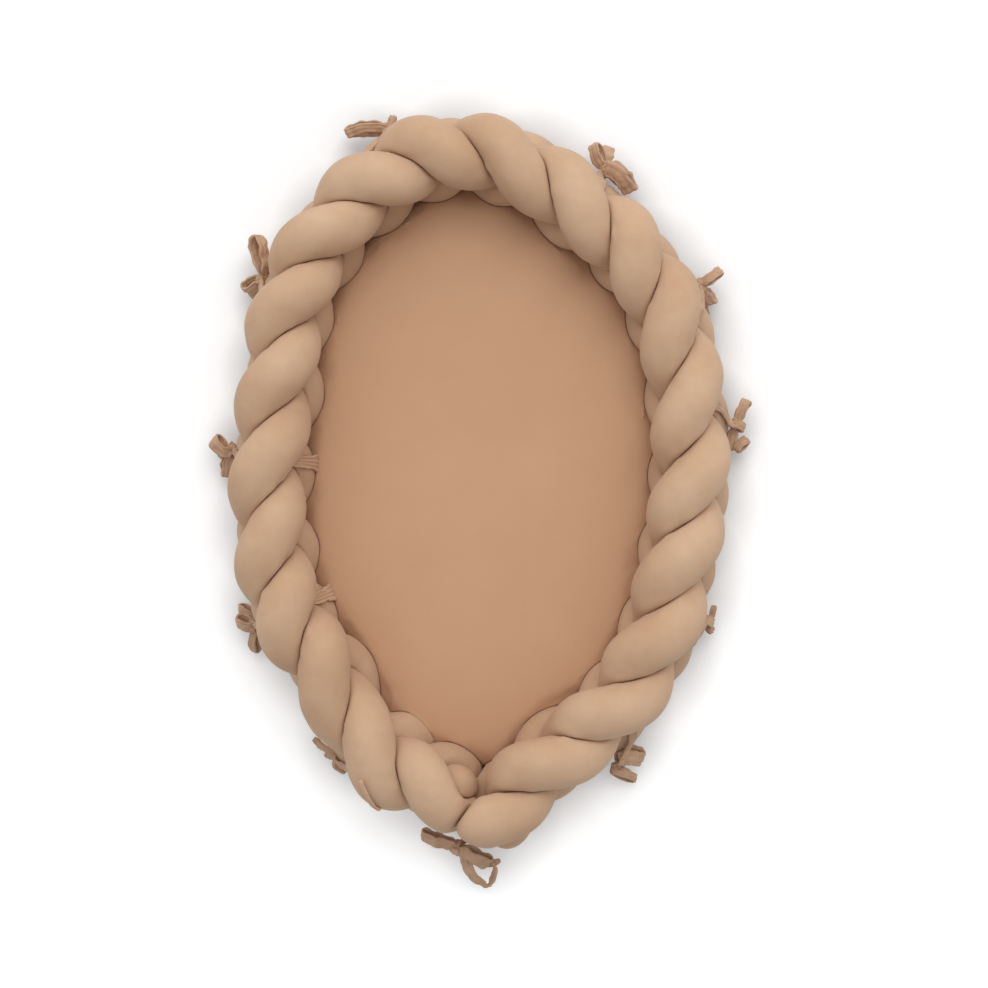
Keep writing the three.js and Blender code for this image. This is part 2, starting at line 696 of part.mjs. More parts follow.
function makeWadding() {
  const rim = EDGE_ROUNDING + COVER_THICKNESS;
  const rings = [
    ...crown(outlineRing(-rim, 0), waddingBase, CROWN_RISE / 2).reverse(),
    outlineRing(-rim, waddingBase),
    outlineRing(-rim, waddingTop),
    ...crown(outlineRing(-rim, 0), waddingTop, CROWN_RISE),
  ];
  return loft(rings, [crownPole(waddingBase, CROWN_RISE / 2), crownPole(waddingTop, CROWN_RISE)]);
}

function makeCore() {
  const base = COVER_THICKNESS + SEAT_GAP;
  const top = waddingBase - SEAT_GAP;
  const rings = [
    outlineRing(-CORE_INSET, base),
    outlineRing(-CORE_INSET, top - EDGE_ROUNDING / 2),
    outlineRing(-CORE_INSET - EDGE_ROUNDING / 2, top),
    ...crown(outlineRing(-CORE_INSET - EDGE_ROUNDING / 2, 0), top, CROWN_RISE / 2),
  ];
  const floor = mattressMiddle.clone();
  floor.z = base;
  const body = toSolid(loft(rings, [floor, crownPole(top, CROWN_RISE / 2)]));
  const halfX = ZIP_LENGTH / 2 + HEM_WIDTH + SLIDER_CLEARANCE;
  const halfY = ZIP_SLOT / 2 + HEM_WIDTH + SLIDER_CLEARANCE;
  const grooveTop = sliderTop + SLIDER_CLEARANCE;
  const groove = box(-halfX, halfX, ZIP_PLACE - halfY, ZIP_PLACE + halfY, -OVERRUN, grooveTop);
  return toGeometry(body.subtract(toSolid(groove)));
}

// The underside: a flat panel with a slot, and a folded hem round the slot that carries the zip
const hemTop = ZIP_TAPE_HEIGHT - ZIP_TAPE_THICKNESS / 2 - SEAT_GAP;

function rectanglePath(PathClass, halfX, halfY) {
  const path = new PathClass();
  path.moveTo(-halfX, ZIP_PLACE - halfY);
  path.lineTo(halfX, ZIP_PLACE - halfY);
  path.lineTo(halfX, ZIP_PLACE + halfY);
  path.lineTo(-halfX, ZIP_PLACE + halfY);
  path.closePath();
  return path;
}

function makeCoverBottom() {
  const rim = outlineRing(FLANGE_WIDTH, 0);
  const panel = new THREE.Shape(rim.map((p) => new THREE.Vector2(p.x, p.y)));
  panel.holes.push(rectanglePath(THREE.Path, ZIP_LENGTH / 2, ZIP_SLOT / 2));
  const hem = rectanglePath(THREE.Shape, ZIP_LENGTH / 2 + HEM_WIDTH, ZIP_SLOT / 2 + HEM_WIDTH);
  hem.holes.push(rectanglePath(THREE.Path, ZIP_LENGTH / 2, ZIP_SLOT / 2));
  const plate = new THREE.ExtrudeGeometry(panel, { depth: COVER_THICKNESS, bevelEnabled: false });
  const fold = new THREE.ExtrudeGeometry(hem, { depth: hemTop, bevelEnabled: false });
  return fused([plate, fold]);
}

// Zip: its slider runs along X, and the pull hangs from a bail under the slider

const coilBase = ZIP_TAPE_HEIGHT - COIL_THICKNESS / 2;
const coilTop = ZIP_TAPE_HEIGHT + COIL_THICKNESS / 2;
const lowerPlateTop = coilBase - SLIDER_CLEARANCE;
const upperPlateBase = coilTop + SLIDER_CLEARANCE;
const sliderTop = upperPlateBase + SLIDER_PLATE;
const sliderBase = lowerPlateTop - SLIDER_PLATE;
const zipEnd = ZIP_LENGTH / 2 - STOP_LENGTH;
const sliderPlace = zipEnd - STOP_LENGTH - SLIDER_CLEARANCE - SLIDER_LENGTH / 2;
// At the closed end the pull still lies inside the slot, so the zip stops short of it by the pull's length
const sliderLast = SEAT_GAP + PULL_LENGTH - ZIP_LENGTH / 2;
const zipStart = sliderLast - SLIDER_LENGTH / 2 - SLIDER_CLEARANCE - STOP_LENGTH;

function makeZipTape(side) {
  const inner = COIL_GAP / 2 + COIL_WIDTH + SEAT_GAP;
  const outer = ZIP_SLOT / 2 + HEM_WIDTH - SEAT_GAP;
  const [y0, y1] = side > 0 ? [inner, outer] : [-outer, -inner];
  const half = ZIP_LENGTH / 2 + HEM_WIDTH - SEAT_GAP;
  const [z0, z1] = [ZIP_TAPE_HEIGHT - ZIP_TAPE_THICKNESS / 2, ZIP_TAPE_HEIGHT + ZIP_TAPE_THICKNESS / 2];
  return box(-half, half, ZIP_PLACE + y0, ZIP_PLACE + y1, z0, z1);
}

function makeZipCoil(side) {
  const [inner, outer] = [COIL_GAP / 2, COIL_GAP / 2 + COIL_WIDTH];
  const [y0, y1] = side > 0 ? [inner, outer] : [-outer, -inner];
  return box(zipStart, zipEnd, ZIP_PLACE + y0, ZIP_PLACE + y1, coilBase, coilTop);
}

function makeTopStop(side) {
  const inner = COIL_GAP / 2;
  const outer = COIL_GAP / 2 + COIL_WIDTH;
  const [y0, y1] = side > 0 ? [inner, outer] : [-outer, -inner];
  const start = zipEnd - STOP_LENGTH;
  const under = coilBase - SEAT_GAP;
  return box(start, zipEnd, ZIP_PLACE + y0, ZIP_PLACE + y1, under - SLIDER_PLATE, under);
}

function makeBottomStop() {
  const half = COIL_GAP / 2 + COIL_WIDTH;
  const under = coilBase - SEAT_GAP;
  const end = zipStart + STOP_LENGTH;
  return box(zipStart, end, ZIP_PLACE - half, ZIP_PLACE + half, under - SLIDER_PLATE, under);
}

// Heights of the bail and of the pull's pin, which turns in the bail's window
const bailHalf = SLIDER_LENGTH * 0.3;
const pinHeight = sliderBase - SLIDER_CLEARANCE - PULL_PIN_RADIUS;
const bailBase = pinHeight - PULL_PIN_RADIUS - SLIDER_CLEARANCE - BAIL_BAR;

function makeSlider() {
  const x = sliderPlace;
  const y = ZIP_PLACE;
  const half = SLIDER_LENGTH / 2;
  const wide = SLIDER_WIDTH / 2;
  const lip = COIL_GAP / 2 + COIL_WIDTH + SLIDER_CLEARANCE;
  const tapeGap = ZIP_TAPE_THICKNESS / 2 + SLIDER_CLEARANCE;
  const wedge = COIL_GAP / 2 - SLIDER_CLEARANCE;
  const sink = SLIDER_PLATE / 2;
  const pieces = [
    box(x - half, x + half, y - wide, y + wide, sliderBase, lowerPlateTop),
    box(x - half, x + half, y - wide, y + wide, upperPlateBase, sliderTop),
    box(x + half - SLIDER_WIDTH / 4, x + half, y - wedge, y + wedge, lowerPlateTop - sink, upperPlateBase + sink),
  ];
  for (const [y0, y1] of [[-wide, -lip], [lip, wide]]) {
    pieces.push(
      box(x - half, x + half, y + y0, y + y1, lowerPlateTop - sink, ZIP_TAPE_HEIGHT - tapeGap),
      box(x - half, x + half, y + y0, y + y1, ZIP_TAPE_HEIGHT + tapeGap, upperPlateBase + sink),
    );
  }
  const barHalf = BAIL_WIDTH / 2;
  const bailTop = bailBase + BAIL_BAR;
  pieces.push(box(x - bailHalf, x + bailHalf, y - barHalf, y + barHalf, bailBase, bailTop));
  for (const end of [-1, 1]) {
    const [x0, x1] = end > 0 ? [bailHalf - BAIL_BAR, bailHalf] : [-bailHalf, BAIL_BAR - bailHalf];
    pieces.push(box(x + x0, x + x1, y - barHalf, y + barHalf, bailBase, sliderBase + sink));
  }
  return fused(pieces);
}

function makePull() {
  const x = sliderPlace;
  const y = ZIP_PLACE;
  const eyeEnd = Math.hypot(bailHalf, pinHeight - bailBase) + SLIDER_CLEARANCE;
  const eyeHalf = BAIL_WIDTH / 2 + SLIDER_CLEARANCE;
  const [z0, z1] = [pinHeight - PULL_THICKNESS / 2, pinHeight + PULL_THICKNESS / 2];
  const outline = new THREE.Shape();
  const round = PULL_WIDTH / 2;
  outline.moveTo(0, -round);
  outline.lineTo(PULL_LENGTH - round, -round);
  outline.absarc(PULL_LENGTH - round, 0, round, -Math.PI / 2, Math.PI / 2, false);
  outline.lineTo(0, round);
  outline.closePath();
  const eye = new THREE.Path();
  eye.moveTo(-OVERRUN, -eyeHalf);
  eye.lineTo(eyeEnd, -eyeHalf);
  eye.lineTo(eyeEnd, eyeHalf);
  eye.lineTo(-OVERRUN, eyeHalf);
  eye.closePath();
  const plate = new THREE.ExtrudeGeometry(outline, {
    depth: PULL_THICKNESS,
    bevelEnabled: false,
    curveSegments: 6,
  });
  const cutter = new THREE.ExtrudeGeometry(new THREE.Shape(eye.getPoints()), {
    depth: PULL_THICKNESS + 2 * OVERRUN,
    bevelEnabled: false,
  });
  cutter.translate(0, 0, -OVERRUN);
  const body = toSolid(plate).subtract(toSolid(cutter));
  const forked = toGeometry(body).rotateZ(Math.PI).translate(x, y, z0);
  const pin = new THREE.CylinderGeometry(PULL_PIN_RADIUS, PULL_PIN_RADIUS, PULL_WIDTH, 12);
  pin.translate(x, y, (z0 + z1) / 2);
  return fused([forked, pin]);
}

addPiece("mattress_core", makeCore(), foamColour);
addPiece("mattress_wadding", makeWadding(), waddingColour);
addPiece("mattress_cover_top", makeCoverTop(), padColour);
addPiece("mattress_cover_bottom", makeCoverBottom(), padColour);
for (const [name, side] of [["left", -1], ["right", 1]]) {
  addPiece(`zip_tape_${name}`, makeZipTape(side), zipColour);
  addPiece(`zip_coil_${name}`, makeZipCoil(side), zipColour);
  addPiece(`zip_top_stop_${name}`, makeTopStop(side), metalColour, 1);
}
addPiece("zip_bottom_stop", makeBottomStop(), metalColour, 1);
addPiece("zip_slider", makeSlider(), metalColour, 1);
addPiece("zip_pull", makePull(), metalColour, 1);

export default lounger;
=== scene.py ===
# %% [markdown]
# # A braided infant lounger
#
# The lounger is a thin mattress inside a fat plait of three stuffed cotton tubes. The plait stands on
# edge round the mattress and is open at the foot. Ten small ties, sewn into the mattress seam, go round
# the plait's lowest tube and end in bows on the outside, and one more closes the foot.
#
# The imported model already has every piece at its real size, as plain solids. This script dresses them. It
# loads the model first, because nothing may be larger than it, and keeps its box to compare with at the
# end.

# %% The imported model
import bpy
import bmesh
import math
import numpy as np
from mathutils import Matrix, Vector
from mathutils.bvhtree import BVHTree


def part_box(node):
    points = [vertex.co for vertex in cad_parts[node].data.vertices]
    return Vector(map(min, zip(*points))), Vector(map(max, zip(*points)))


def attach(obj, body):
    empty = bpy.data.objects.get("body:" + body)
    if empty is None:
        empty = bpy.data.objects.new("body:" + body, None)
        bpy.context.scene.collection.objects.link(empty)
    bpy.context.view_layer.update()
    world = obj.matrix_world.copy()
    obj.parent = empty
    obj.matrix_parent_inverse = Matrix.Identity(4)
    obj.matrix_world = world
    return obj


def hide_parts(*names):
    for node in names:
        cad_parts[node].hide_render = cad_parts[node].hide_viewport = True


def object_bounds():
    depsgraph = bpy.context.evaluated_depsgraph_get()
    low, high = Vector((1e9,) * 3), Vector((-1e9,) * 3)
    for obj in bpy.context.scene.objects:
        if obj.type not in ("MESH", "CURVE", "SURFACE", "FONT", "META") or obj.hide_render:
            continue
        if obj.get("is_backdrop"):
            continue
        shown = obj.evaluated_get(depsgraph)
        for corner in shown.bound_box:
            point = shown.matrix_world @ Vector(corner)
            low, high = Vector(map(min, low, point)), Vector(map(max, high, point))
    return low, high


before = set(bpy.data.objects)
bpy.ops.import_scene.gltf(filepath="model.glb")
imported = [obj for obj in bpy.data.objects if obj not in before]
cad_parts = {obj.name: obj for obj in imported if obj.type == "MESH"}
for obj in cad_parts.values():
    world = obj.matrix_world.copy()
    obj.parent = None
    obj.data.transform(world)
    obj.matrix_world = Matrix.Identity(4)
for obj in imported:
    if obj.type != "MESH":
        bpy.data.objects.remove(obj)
scene = bpy.context.scene
model_box = [list(corner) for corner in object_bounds()]
print("model, in metres:", [round(high - low, 3) for low, high in zip(*model_box)])

# %% [markdown]
# ## The camera
#
# The lounger was photographed from straight above, from a little over two metres. A lens of about 64 mm
# on a 36 mm sensor gives that view. The eye hangs a little to the right of the middle, so the plait's
# left side shows more of its inner flank than its right side does. That is worth matching, because a
# braid looks wrong at once when the wrong tubes peep out. The small shift moves the picture, not the
# viewpoint.

# %% Camera
EYE = Vector((0.120, -0.020, 2.200))
AIM = Vector((0.0, 0.0, 0.060))
PICTURE_PIXELS = 988
FOCAL_PIXELS = 1756
AIM_PIXEL = (481, 489)


def look_down(eye, aim):
    """Where a camera stands and how it is turned, with +Y at the top of its picture."""
    back = (eye - aim).normalized()
    right = Vector((0, 1, 0)).cross(back).normalized()
    up = back.cross(right)
    turn = Matrix((right, up, back)).transposed().to_4x4()
    return Matrix.Translation(eye) @ turn


lens = bpy.data.cameras.new("camera")
lens.sensor_width = 36
lens.lens = lens.sensor_width * FOCAL_PIXELS / PICTURE_PIXELS
lens.shift_x = (PICTURE_PIXELS / 2 - AIM_PIXEL[0]) / PICTURE_PIXELS
lens.shift_y = (AIM_PIXEL[1] - PICTURE_PIXELS / 2) / PICTURE_PIXELS
camera = bpy.data.objects.new("camera", lens)
scene.collection.objects.link(camera)
camera.matrix_world = look_down(EYE, AIM)
scene.camera = camera
scene.view_settings.view_transform = "Standard"
print("lens", round(lens.lens, 1), "mm")

# %% [markdown]
# ## Skins made from a flat grid
#
# Nearly every piece here is cloth that has been rolled, stuffed or folded: a tube, a pad, a tie. Such a
# piece starts as a flat grid, as the cloth did on the cutting table. Each point of the grid is then
# carried to its place, and the two edges that meet are welded, as a seam would join them. The flat grid
# also gives the piece a UV map in real metres, so that the weave keeps its size and follows the cloth.


# %% From flat cloth to a closed skin
WELD = 2e-6


def unit(vectors):
    return vectors / np.linalg.norm(vectors, axis=-1, keepdims=True)


def arc_lengths(points):
    steps = np.linalg.norm(np.diff(points, axis=0), axis=1)
    return np.concatenate([[0], np.cumsum(steps)])


def cloth_mesh(name, points, first_pole=None, last_pole=None, ring=False):
    """A closed skin over points[row][column]. Columns run round the piece. Rows run along it, and end in
    the two poles or, in a ring, join up."""
    points = np.asarray(points, float)
    columns = points.shape[1]
    if ring:
        points = np.concatenate([points, points[:1]])
    if first_pole is not None:
        points = np.insert(points, 0, np.broadcast_to(first_pole, (columns, 3)), axis=0)
    if last_pole is not None:
        points = np.insert(points, len(points), np.broadcast_to(last_pole, (columns, 3)), axis=0)
    rows = len(points)
    cloth = bmesh.new()
    bmesh.ops.create_grid(cloth, x_segments=columns, y_segments=rows - 1, size=1)
    mesh = bpy.data.meshes.new(name)
    cloth.to_mesh(mesh)
    cloth.free()
    flat = np.empty(len(mesh.vertices) * 3, np.float32)
    mesh.vertices.foreach_get("co", flat)
    flat = flat.reshape(-1, 3)
    column = np.rint((flat[:, 0] + 1) / 2 * columns).astype(int)
    row = np.rint((flat[:, 1] + 1) / 2 * (rows - 1)).astype(int)
    mesh.vertices.foreach_set("co", points[row, column % columns].astype(np.float32).ravel())
    middle_row = points[rows // 2]
    round_it = arc_lengths(np.concatenate([middle_row, middle_row[:1]]))
    along = arc_lengths(points[:, 0])
    corner = np.empty(len(mesh.loops), np.int32)
    mesh.loops.foreach_get("vertex_index", corner)
    flat_places = np.stack([along[row], round_it[column]], 1)[corner]
    cut = mesh.uv_layers.new(name="cloth")
    cut.data.foreach_set("uv", flat_places.astype(np.float32).ravel())
    welded = bmesh.new()
    welded.from_mesh(mesh)
    bmesh.ops.remove_doubles(welded, verts=welded.verts, dist=WELD)
    bmesh.ops.recalc_face_normals(welded, faces=welded.faces)
    welded.to_mesh(mesh)
    welded.free()
    mesh.shade_smooth()
    return mesh


def joined(name, meshes):
    """Several skins as one mesh."""
    whole = bmesh.new()
    for mesh in meshes:
        whole.from_mesh(mesh)
    result = bpy.data.meshes.new(name)
    whole.to_mesh(result)
    whole.free()
    result.shade_smooth()
    return result


def add_piece(name, mesh, finish, nodes):
    """A piece on the lounger's own body, with its finish and the nodes that it stands for."""
    piece = bpy.data.objects.new(name, mesh)
    scene.collection.objects.link(piece)
    piece.data.materials.clear()
    piece.data.materials.append(finish)
    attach(piece, "lounger")
    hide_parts(*nodes)
    return piece


# %% [markdown]
# ## Lumps and puckers
#
# Stuffed cotton is never quite smooth. Two things show: broad lumps in the filling, and short puckers
# where the cloth is squeezed against its neighbour. Both come from one helper, a smooth random height
# over the cloth. It can be stretched, because puckers are long one way and narrow the other, and it joins
# up where the cloth meets itself. Its numbers are seeded, so each run gives the same cloth.


# %% A smooth random height over cloth
def cloth_noise(along, around, size_along, size_around, round_length, seed):
    """Heights from -1 to 1 for each place along the cloth and each place around it."""
    count = max(3, round(round_length / size_around))
    u = along / size_along
    v = around / round_length * count
    lattice = np.random.RandomState(seed).uniform(-1, 1, (int(u.max()) + 3, count))
    i, j = np.floor(u).astype(int), np.floor(v).astype(int)
    s, t = u - i, v - j
    s, t = s * s * (3 - 2 * s), t * t * (3 - 2 * t)
    i, s = i[:, None], s[:, None]
    j, t = j[None, :], t[None, :]
    low = lattice[i, j % count] * (1 - t) + lattice[i, (j + 1) % count] * t
    high = lattice[i + 1, j % count] * (1 - t) + lattice[i + 1, (j + 1) % count] * t
    return low * (1 - s) + high * s


def eased(low, high, value):
    share = np.clip((value - low) / (high - low), 0, 1)
    return share * share * (3 - 2 * share)


# %% [markdown]
# ## The braid's path
#
# The path runs through the places where the lobes crest, clockwise from the left foot. It has to be the
# model's own path, or the dressed tubes would leave their solids, so the same places and the same kind of
# curve are used: a centripetal Catmull-Rom curve, which passes through its points without overshooting.
# The tubes here also lean in by a millimetre or two, and the left foot's low lobe bulges inwards, as they
# do in the picture. The plain solids don't, because they may not overlap their neighbours.

# %% Path
HALF_WIDTH = 0.252
HALF_LENGTH = 0.412
crown_shares = [
    (0.120, -0.928), (-0.228, -0.868), (-0.505, -0.777), (-0.732, -0.530), (-0.922, -0.360),
    (-1.001, -0.154), (-1.011, 0.086), (-0.962, 0.324), (-0.907, 0.546), (-0.743, 0.744),
    (-0.485, 0.901), (-0.191, 0.984), (0.160, 0.952), (0.493, 0.812), (0.742, 0.671),
    (0.913, 0.479), (0.990, 0.236), (0.998, 0.010), (0.944, -0.208), (0.837, -0.437),
    (0.635, -0.641), (0.327, -0.790), (0.071, -0.953), (-0.112, -1.145),
]
LOBES = len(crown_shares) - 2
BRAID_START = -0.64
BRAID_END = LOBES - 0.64
PATH_STEPS = 600
CHORD = 0.25


def smooth_curve(knots, places):
    """Points on a centripetal Catmull-Rom curve, where a place of 0 is the first knot and 1 the second."""
    knots = np.asarray(knots, float)
    ends = [2 * knots[0] - knots[1]], [2 * knots[-1] - knots[-2]]
    knots = np.concatenate([ends[0], knots, ends[1]])
    places = np.clip(np.asarray(places, float), 0, len(knots) - 3)
    i = np.minimum(places.astype(int), len(knots) - 4)
    w = (places - i)[:, None]
    a, b, c, d = knots[i], knots[i + 1], knots[i + 2], knots[i + 3]
    ab = np.sqrt(np.linalg.norm(b - a, axis=1, keepdims=True))
    bc = np.sqrt(np.linalg.norm(c - b, axis=1, keepdims=True))
    cd = np.sqrt(np.linalg.norm(d - c, axis=1, keepdims=True))
    leave = ((b - a) / ab - (c - a) / (ab + bc) + (c - b) / bc) * bc
    arrive = ((c - b) / bc - (d - b) / (bc + cd) + (d - c) / cd) * bc
    square = -3 * b + 3 * c - 2 * leave - arrive
    cube = 2 * b - 2 * c + leave + arrive
    return b + leave * w + square * w ** 2 + cube * w ** 3


crowns = np.array([(x * HALF_WIDTH, y * HALF_LENGTH, 0) for x, y in crown_shares])


def path_point(lobe):
    return smooth_curve(crowns, np.atleast_1d(lobe) + 1)


def path_direction(lobe):
    lobe = np.atleast_1d(lobe)
    return unit(path_point(lobe + CHORD) - path_point(lobe - CHORD))


def outward(lobe):
    along = path_direction(lobe)
    return np.stack([-along[:, 1], along[:, 0], 0 * along[:, 0]], 1)


def beside_path(lobe, out, height, onward=0.0):
    """A point so far out from the path, so high, and so far on along it."""
    place = path_point(lobe) + outward(lobe) * out + path_direction(lobe) * onward
    return place + np.array([0, 0, 1]) * height


braid_length = arc_lengths(path_point(np.linspace(BRAID_START, BRAID_END, PATH_STEPS)))[-1]
print("path", round(braid_length, 3), "m")

# %% [markdown]
# ## Three tubes in a plait
#
# Each tube swings in and out once for every time that the plait crosses, and up and down half as often.
# That figure of eight is what makes three tubes a plait. A stuffed tube is round where it is free and
# flat where a neighbour pushes back, and the flat lies halfway between the two middles. So each point of
# a tube's skin goes out from the tube's middle until it meets the first of three limits: its own radius,
# the halfway plane, or the floor. The limits are blended, and the power of the blend sets how crisp the
# creases are. They are softer at the foot, where loose round ends lie against each other.

# %% Where the tubes run and how far their skins reach
STRANDS = 3
STRAND_RADIUS = 0.0315
BRAID_RISE = 0.049
BRAID_SWING = 0.017
LOW_SWING_MORE = 0.1
LEAN = 0.0018
FOOT_BULGE = 0.020
FOOT_BULGE_LOBE = 0.6
FOOT_BULGE_SPREAD = 0.45
LATE_START = 0.12
COURSE_STEPS = 1200
FLOOR_PRESS = 0.0046
BRAID_MIDDLE = BRAID_RISE + STRAND_RADIUS - FLOOR_PRESS
BRAID_FLANK = BRAID_SWING + STRAND_RADIUS
SEAT_GAP = 0.0003
STRAND_SPACING = 0.0008
CREASE_POWER = 18
END_POWER = 6
SOFT_LOBES = 0.4
CRISP_LOBES = 1.3
NEAR_LOBES = 1.7
FOOT_LOBES = 2.5
TIP_LOBES = 0.12


def strand_middle(strand, lobe):
    lobe = np.atleast_1d(lobe)
    phase = 2 * np.pi * (lobe - strand) / STRANDS + np.pi / 2
    lift = np.sin(phase)
    swing = BRAID_SWING * (1 - LOW_SWING_MORE * lift) * np.sin(2 * phase)
    bulge = FOOT_BULGE * np.exp(-((lobe - FOOT_BULGE_LOBE) / FOOT_BULGE_SPREAD) ** 2)
    sideways = outward(lobe) * (swing - LEAN * lift + bulge * np.minimum(lift, 0))[:, None]
    height = BRAID_MIDDLE + BRAID_RISE * lift
    return path_point(lobe) + sideways + height[:, None] * np.array([0, 0, 1])


strand_starts = (BRAID_START, BRAID_START, BRAID_START + LATE_START)
course_lobes = [np.linspace(start, BRAID_END, COURSE_STEPS) for start in strand_starts]
courses = [strand_middle(strand, lobes) for strand, lobes in enumerate(course_lobes)]


def rivals_of(strand, lobe):
    """The middles of whatever presses on a tube at a place: the other tubes beside it, and at the foot all
    tubes of the braid's other end, but for their round tips."""
    found = []
    for other, (lobes, course) in enumerate(zip(course_lobes, courses)):
        beside = (np.abs(lobes - lobe) < NEAR_LOBES) & (other != strand)
        last = (lobes > BRAID_END - FOOT_LOBES) & (lobes < BRAID_END - TIP_LOBES)
        first = (lobes < BRAID_START + FOOT_LOBES) & (lobes > lobes[0] + TIP_LOBES)
        across = last & (lobe < BRAID_START + FOOT_LOBES)
        back = first & (lobe > BRAID_END - FOOT_LOBES)
        found.append(course[beside | across | back])
    return np.concatenate(found)


def strand_skin(strand, lobes, radii, sides):
    """The middles, the directions outwards, and how far the skin is free and is pressed in each."""
    middles = strand_middle(strand, lobes)
    step = 0.002
    along = unit(strand_middle(strand, lobes + step) - strand_middle(strand, lobes - step))
    out = outward(lobes)
    out = unit(out - along * (out * along).sum(1, keepdims=True))
    across = np.cross(along, out)
    turns = np.linspace(0, 2 * np.pi, sides, endpoint=False)
    directions = out[:, None] * np.cos(turns)[:, None] + across[:, None] * np.sin(turns)[:, None]
    pressed = np.ones(directions.shape[:2])
    for i, (middle, lobe) in enumerate(zip(middles, lobes)):
        away = rivals_of(strand, lobe) - middle
        towards = away @ directions[i].T
        halfway = (away ** 2).sum(1)[:, None] / np.maximum(2 * towards, 1e-6)
        pressed[i] = np.maximum(halfway.min(0) - STRAND_SPACING / 2, SEAT_GAP)
    down = np.maximum(-directions[:, :, 2], 1e-6)
    floor = (middles[:, None, 2] - SEAT_GAP) / down
    pressed = np.minimum(pressed, floor)
    free = np.broadcast_to(radii[:, None], pressed.shape)
    return middles, directions, free, pressed


def blended(lobes, free, pressed):
    """How far the skin goes: crisp creases along the braid, softer ones where its two ends meet."""
    from_end = np.minimum(lobes - BRAID_START, BRAID_END - lobes)
    crisp = eased(SOFT_LOBES, CRISP_LOBES, from_end)[:, None]
    power = END_POWER + (CREASE_POWER - END_POWER) * crisp
    return (free ** -power + pressed ** -power) ** (-1 / power)


strand_lengths = [arc_lengths(course)[-1] for course in courses]
print("tube lengths, in metres:", [round(length, 2) for length in strand_lengths])

# %% [markdown]
# The skin is now laid over the tubes. Lumps move it by less than a millimetre and puckers by a little
# more, and only near a crease: a pucker in the middle of a tight lobe would look like a fault in the
# cloth.

# %% Tube meshes
STRAND_ROWS = 1000
STRAND_SIDES = 80
END_ROUNDING = 0.036
END_ROWS = 18
LUMP = 0.0011
LUMP_SIZE = (0.060, 0.042)
PUCKER = 0.0012
PUCKER_SIZE = (0.030, 0.010)
RIPPLE = 0.00035
RIPPLE_SIZE = (0.012, 0.014)


def strand_rows(strand):
    length = strand_lengths[strand]
    ends = END_ROUNDING * (1 - np.cos(np.linspace(0, np.pi / 2, END_ROWS)[1:]))
    body = np.linspace(END_ROUNDING, length - END_ROUNDING, STRAND_ROWS)
    arcs = np.concatenate([ends, body[1:-1], length - ends[::-1]])
    lobes = np.interp(arcs, arc_lengths(courses[strand]), course_lobes[strand])
    near_end = np.minimum(np.minimum(arcs, length - arcs), END_ROUNDING) / END_ROUNDING
    radii = STRAND_RADIUS * np.sqrt(1 - (1 - near_end) ** 2)
    return arcs, lobes, radii


def strand_points(strand):
    arcs, lobes, radii = strand_rows(strand)
    middles, directions, free, pressed = strand_skin(strand, lobes, radii, STRAND_SIDES)
    round_length = 2 * np.pi * STRAND_RADIUS
    around = np.linspace(0, round_length, STRAND_SIDES, endpoint=False)
    seed = 10 * strand
    lumps = cloth_noise(arcs, around, *LUMP_SIZE, round_length, seed + 1)
    puckers = cloth_noise(arcs, around, *PUCKER_SIZE, round_length, seed + 2)
    ripples = cloth_noise(arcs, around, *RIPPLE_SIZE, round_length, seed + 3)
    room = pressed / free
    by_crease = eased(1.7, 1.1, room) * eased(0.9, 1.05, room)
    open_side = eased(0.9, 1.1, room)
    swell = LUMP * lumps * open_side + PUCKER * puckers * by_crease + RIPPLE * ripples * open_side
    reach = blended(lobes, free, pressed) + swell * (radii / STRAND_RADIUS)[:, None]
    return middles[:, None] + directions * reach[:, :, None]


strand_meshes = []
for strand, letter in enumerate("abc"):
    points = strand_points(strand)
    ends = courses[strand][0], courses[strand][-1]
    strand_meshes.append(cloth_mesh(f"strand_{letter}", points, *ends))
print("faces in each tube:", [len(mesh.polygons) for mesh in strand_meshes])

# %% [markdown]
# ## Cotton
#
# The whole lounger is sewn from one sand-coloured cotton, matte and finely woven. Its threads are about
# half a millimetre wide, far too fine to model, so the shader raises them with a bump from two crossed
# waves on the UV map, which is in metres. A slow noise moves the colour by a few per cent, because dyed
# cotton is never even, and a little sheen stands for the fuzz that catches light at grazing angles. The
# ties get a darker copy of this cotton: painted shade, for ties that lie low in the plait's shadow.

# %% Nodes of a finish
def feed(socket, value):
    """Links an input to the socket given, or sets it to the value given."""
    if isinstance(value, bpy.types.NodeSocket):
        socket.id_data.links.new(value, socket)
    else:
        socket.default_value = value


def set_inputs(node, **inputs):
    """Feeds each input named, where an underscore stands for a space."""
    for name, value in inputs.items():
        feed(node.inputs[name.replace("_", " ")], value)


def add_node(tree, kind, **inputs):
    node = tree.nodes.new("ShaderNode" + kind)
    set_inputs(node, **inputs)
    return node


def add_math(tree, operation, *operands):
    node = add_node(tree, "Math")
    node.operation = operation
    for socket, operand in zip(node.inputs, operands):
        feed(socket, operand)
    return node.outputs["Value"]


def new_finish(name, colour, roughness):
    finish = bpy.data.materials.new(name)
    finish.use_nodes = True
    shader = finish.node_tree.nodes["Principled BSDF"]
    set_inputs(shader, Base_Color=(*colour, 1), Roughness=roughness)
    return finish, shader


# %% Cotton finish
THREAD = 0.0006
COTTON_ROUGHNESS = 0.92
CRIMP_DEPTH = 0.0006
FUZZ = (1, 0.93, 0.85, 1)


def raised_weave(tree, place):
    """The height of a plain weave: two crossed waves, whichever is higher."""
    heights = []
    for direction in ("X", "Y"):
        threads = add_node(tree, "TexWave", Scale=math.pi / 10 / THREAD, Distortion=0.4, Detail_Scale=60,
                           Vector=place.outputs["UV"])
        threads.bands_direction = direction
        heights.append(threads.outputs["Fac"])
    return add_math(tree, "MAXIMUM", *heights)


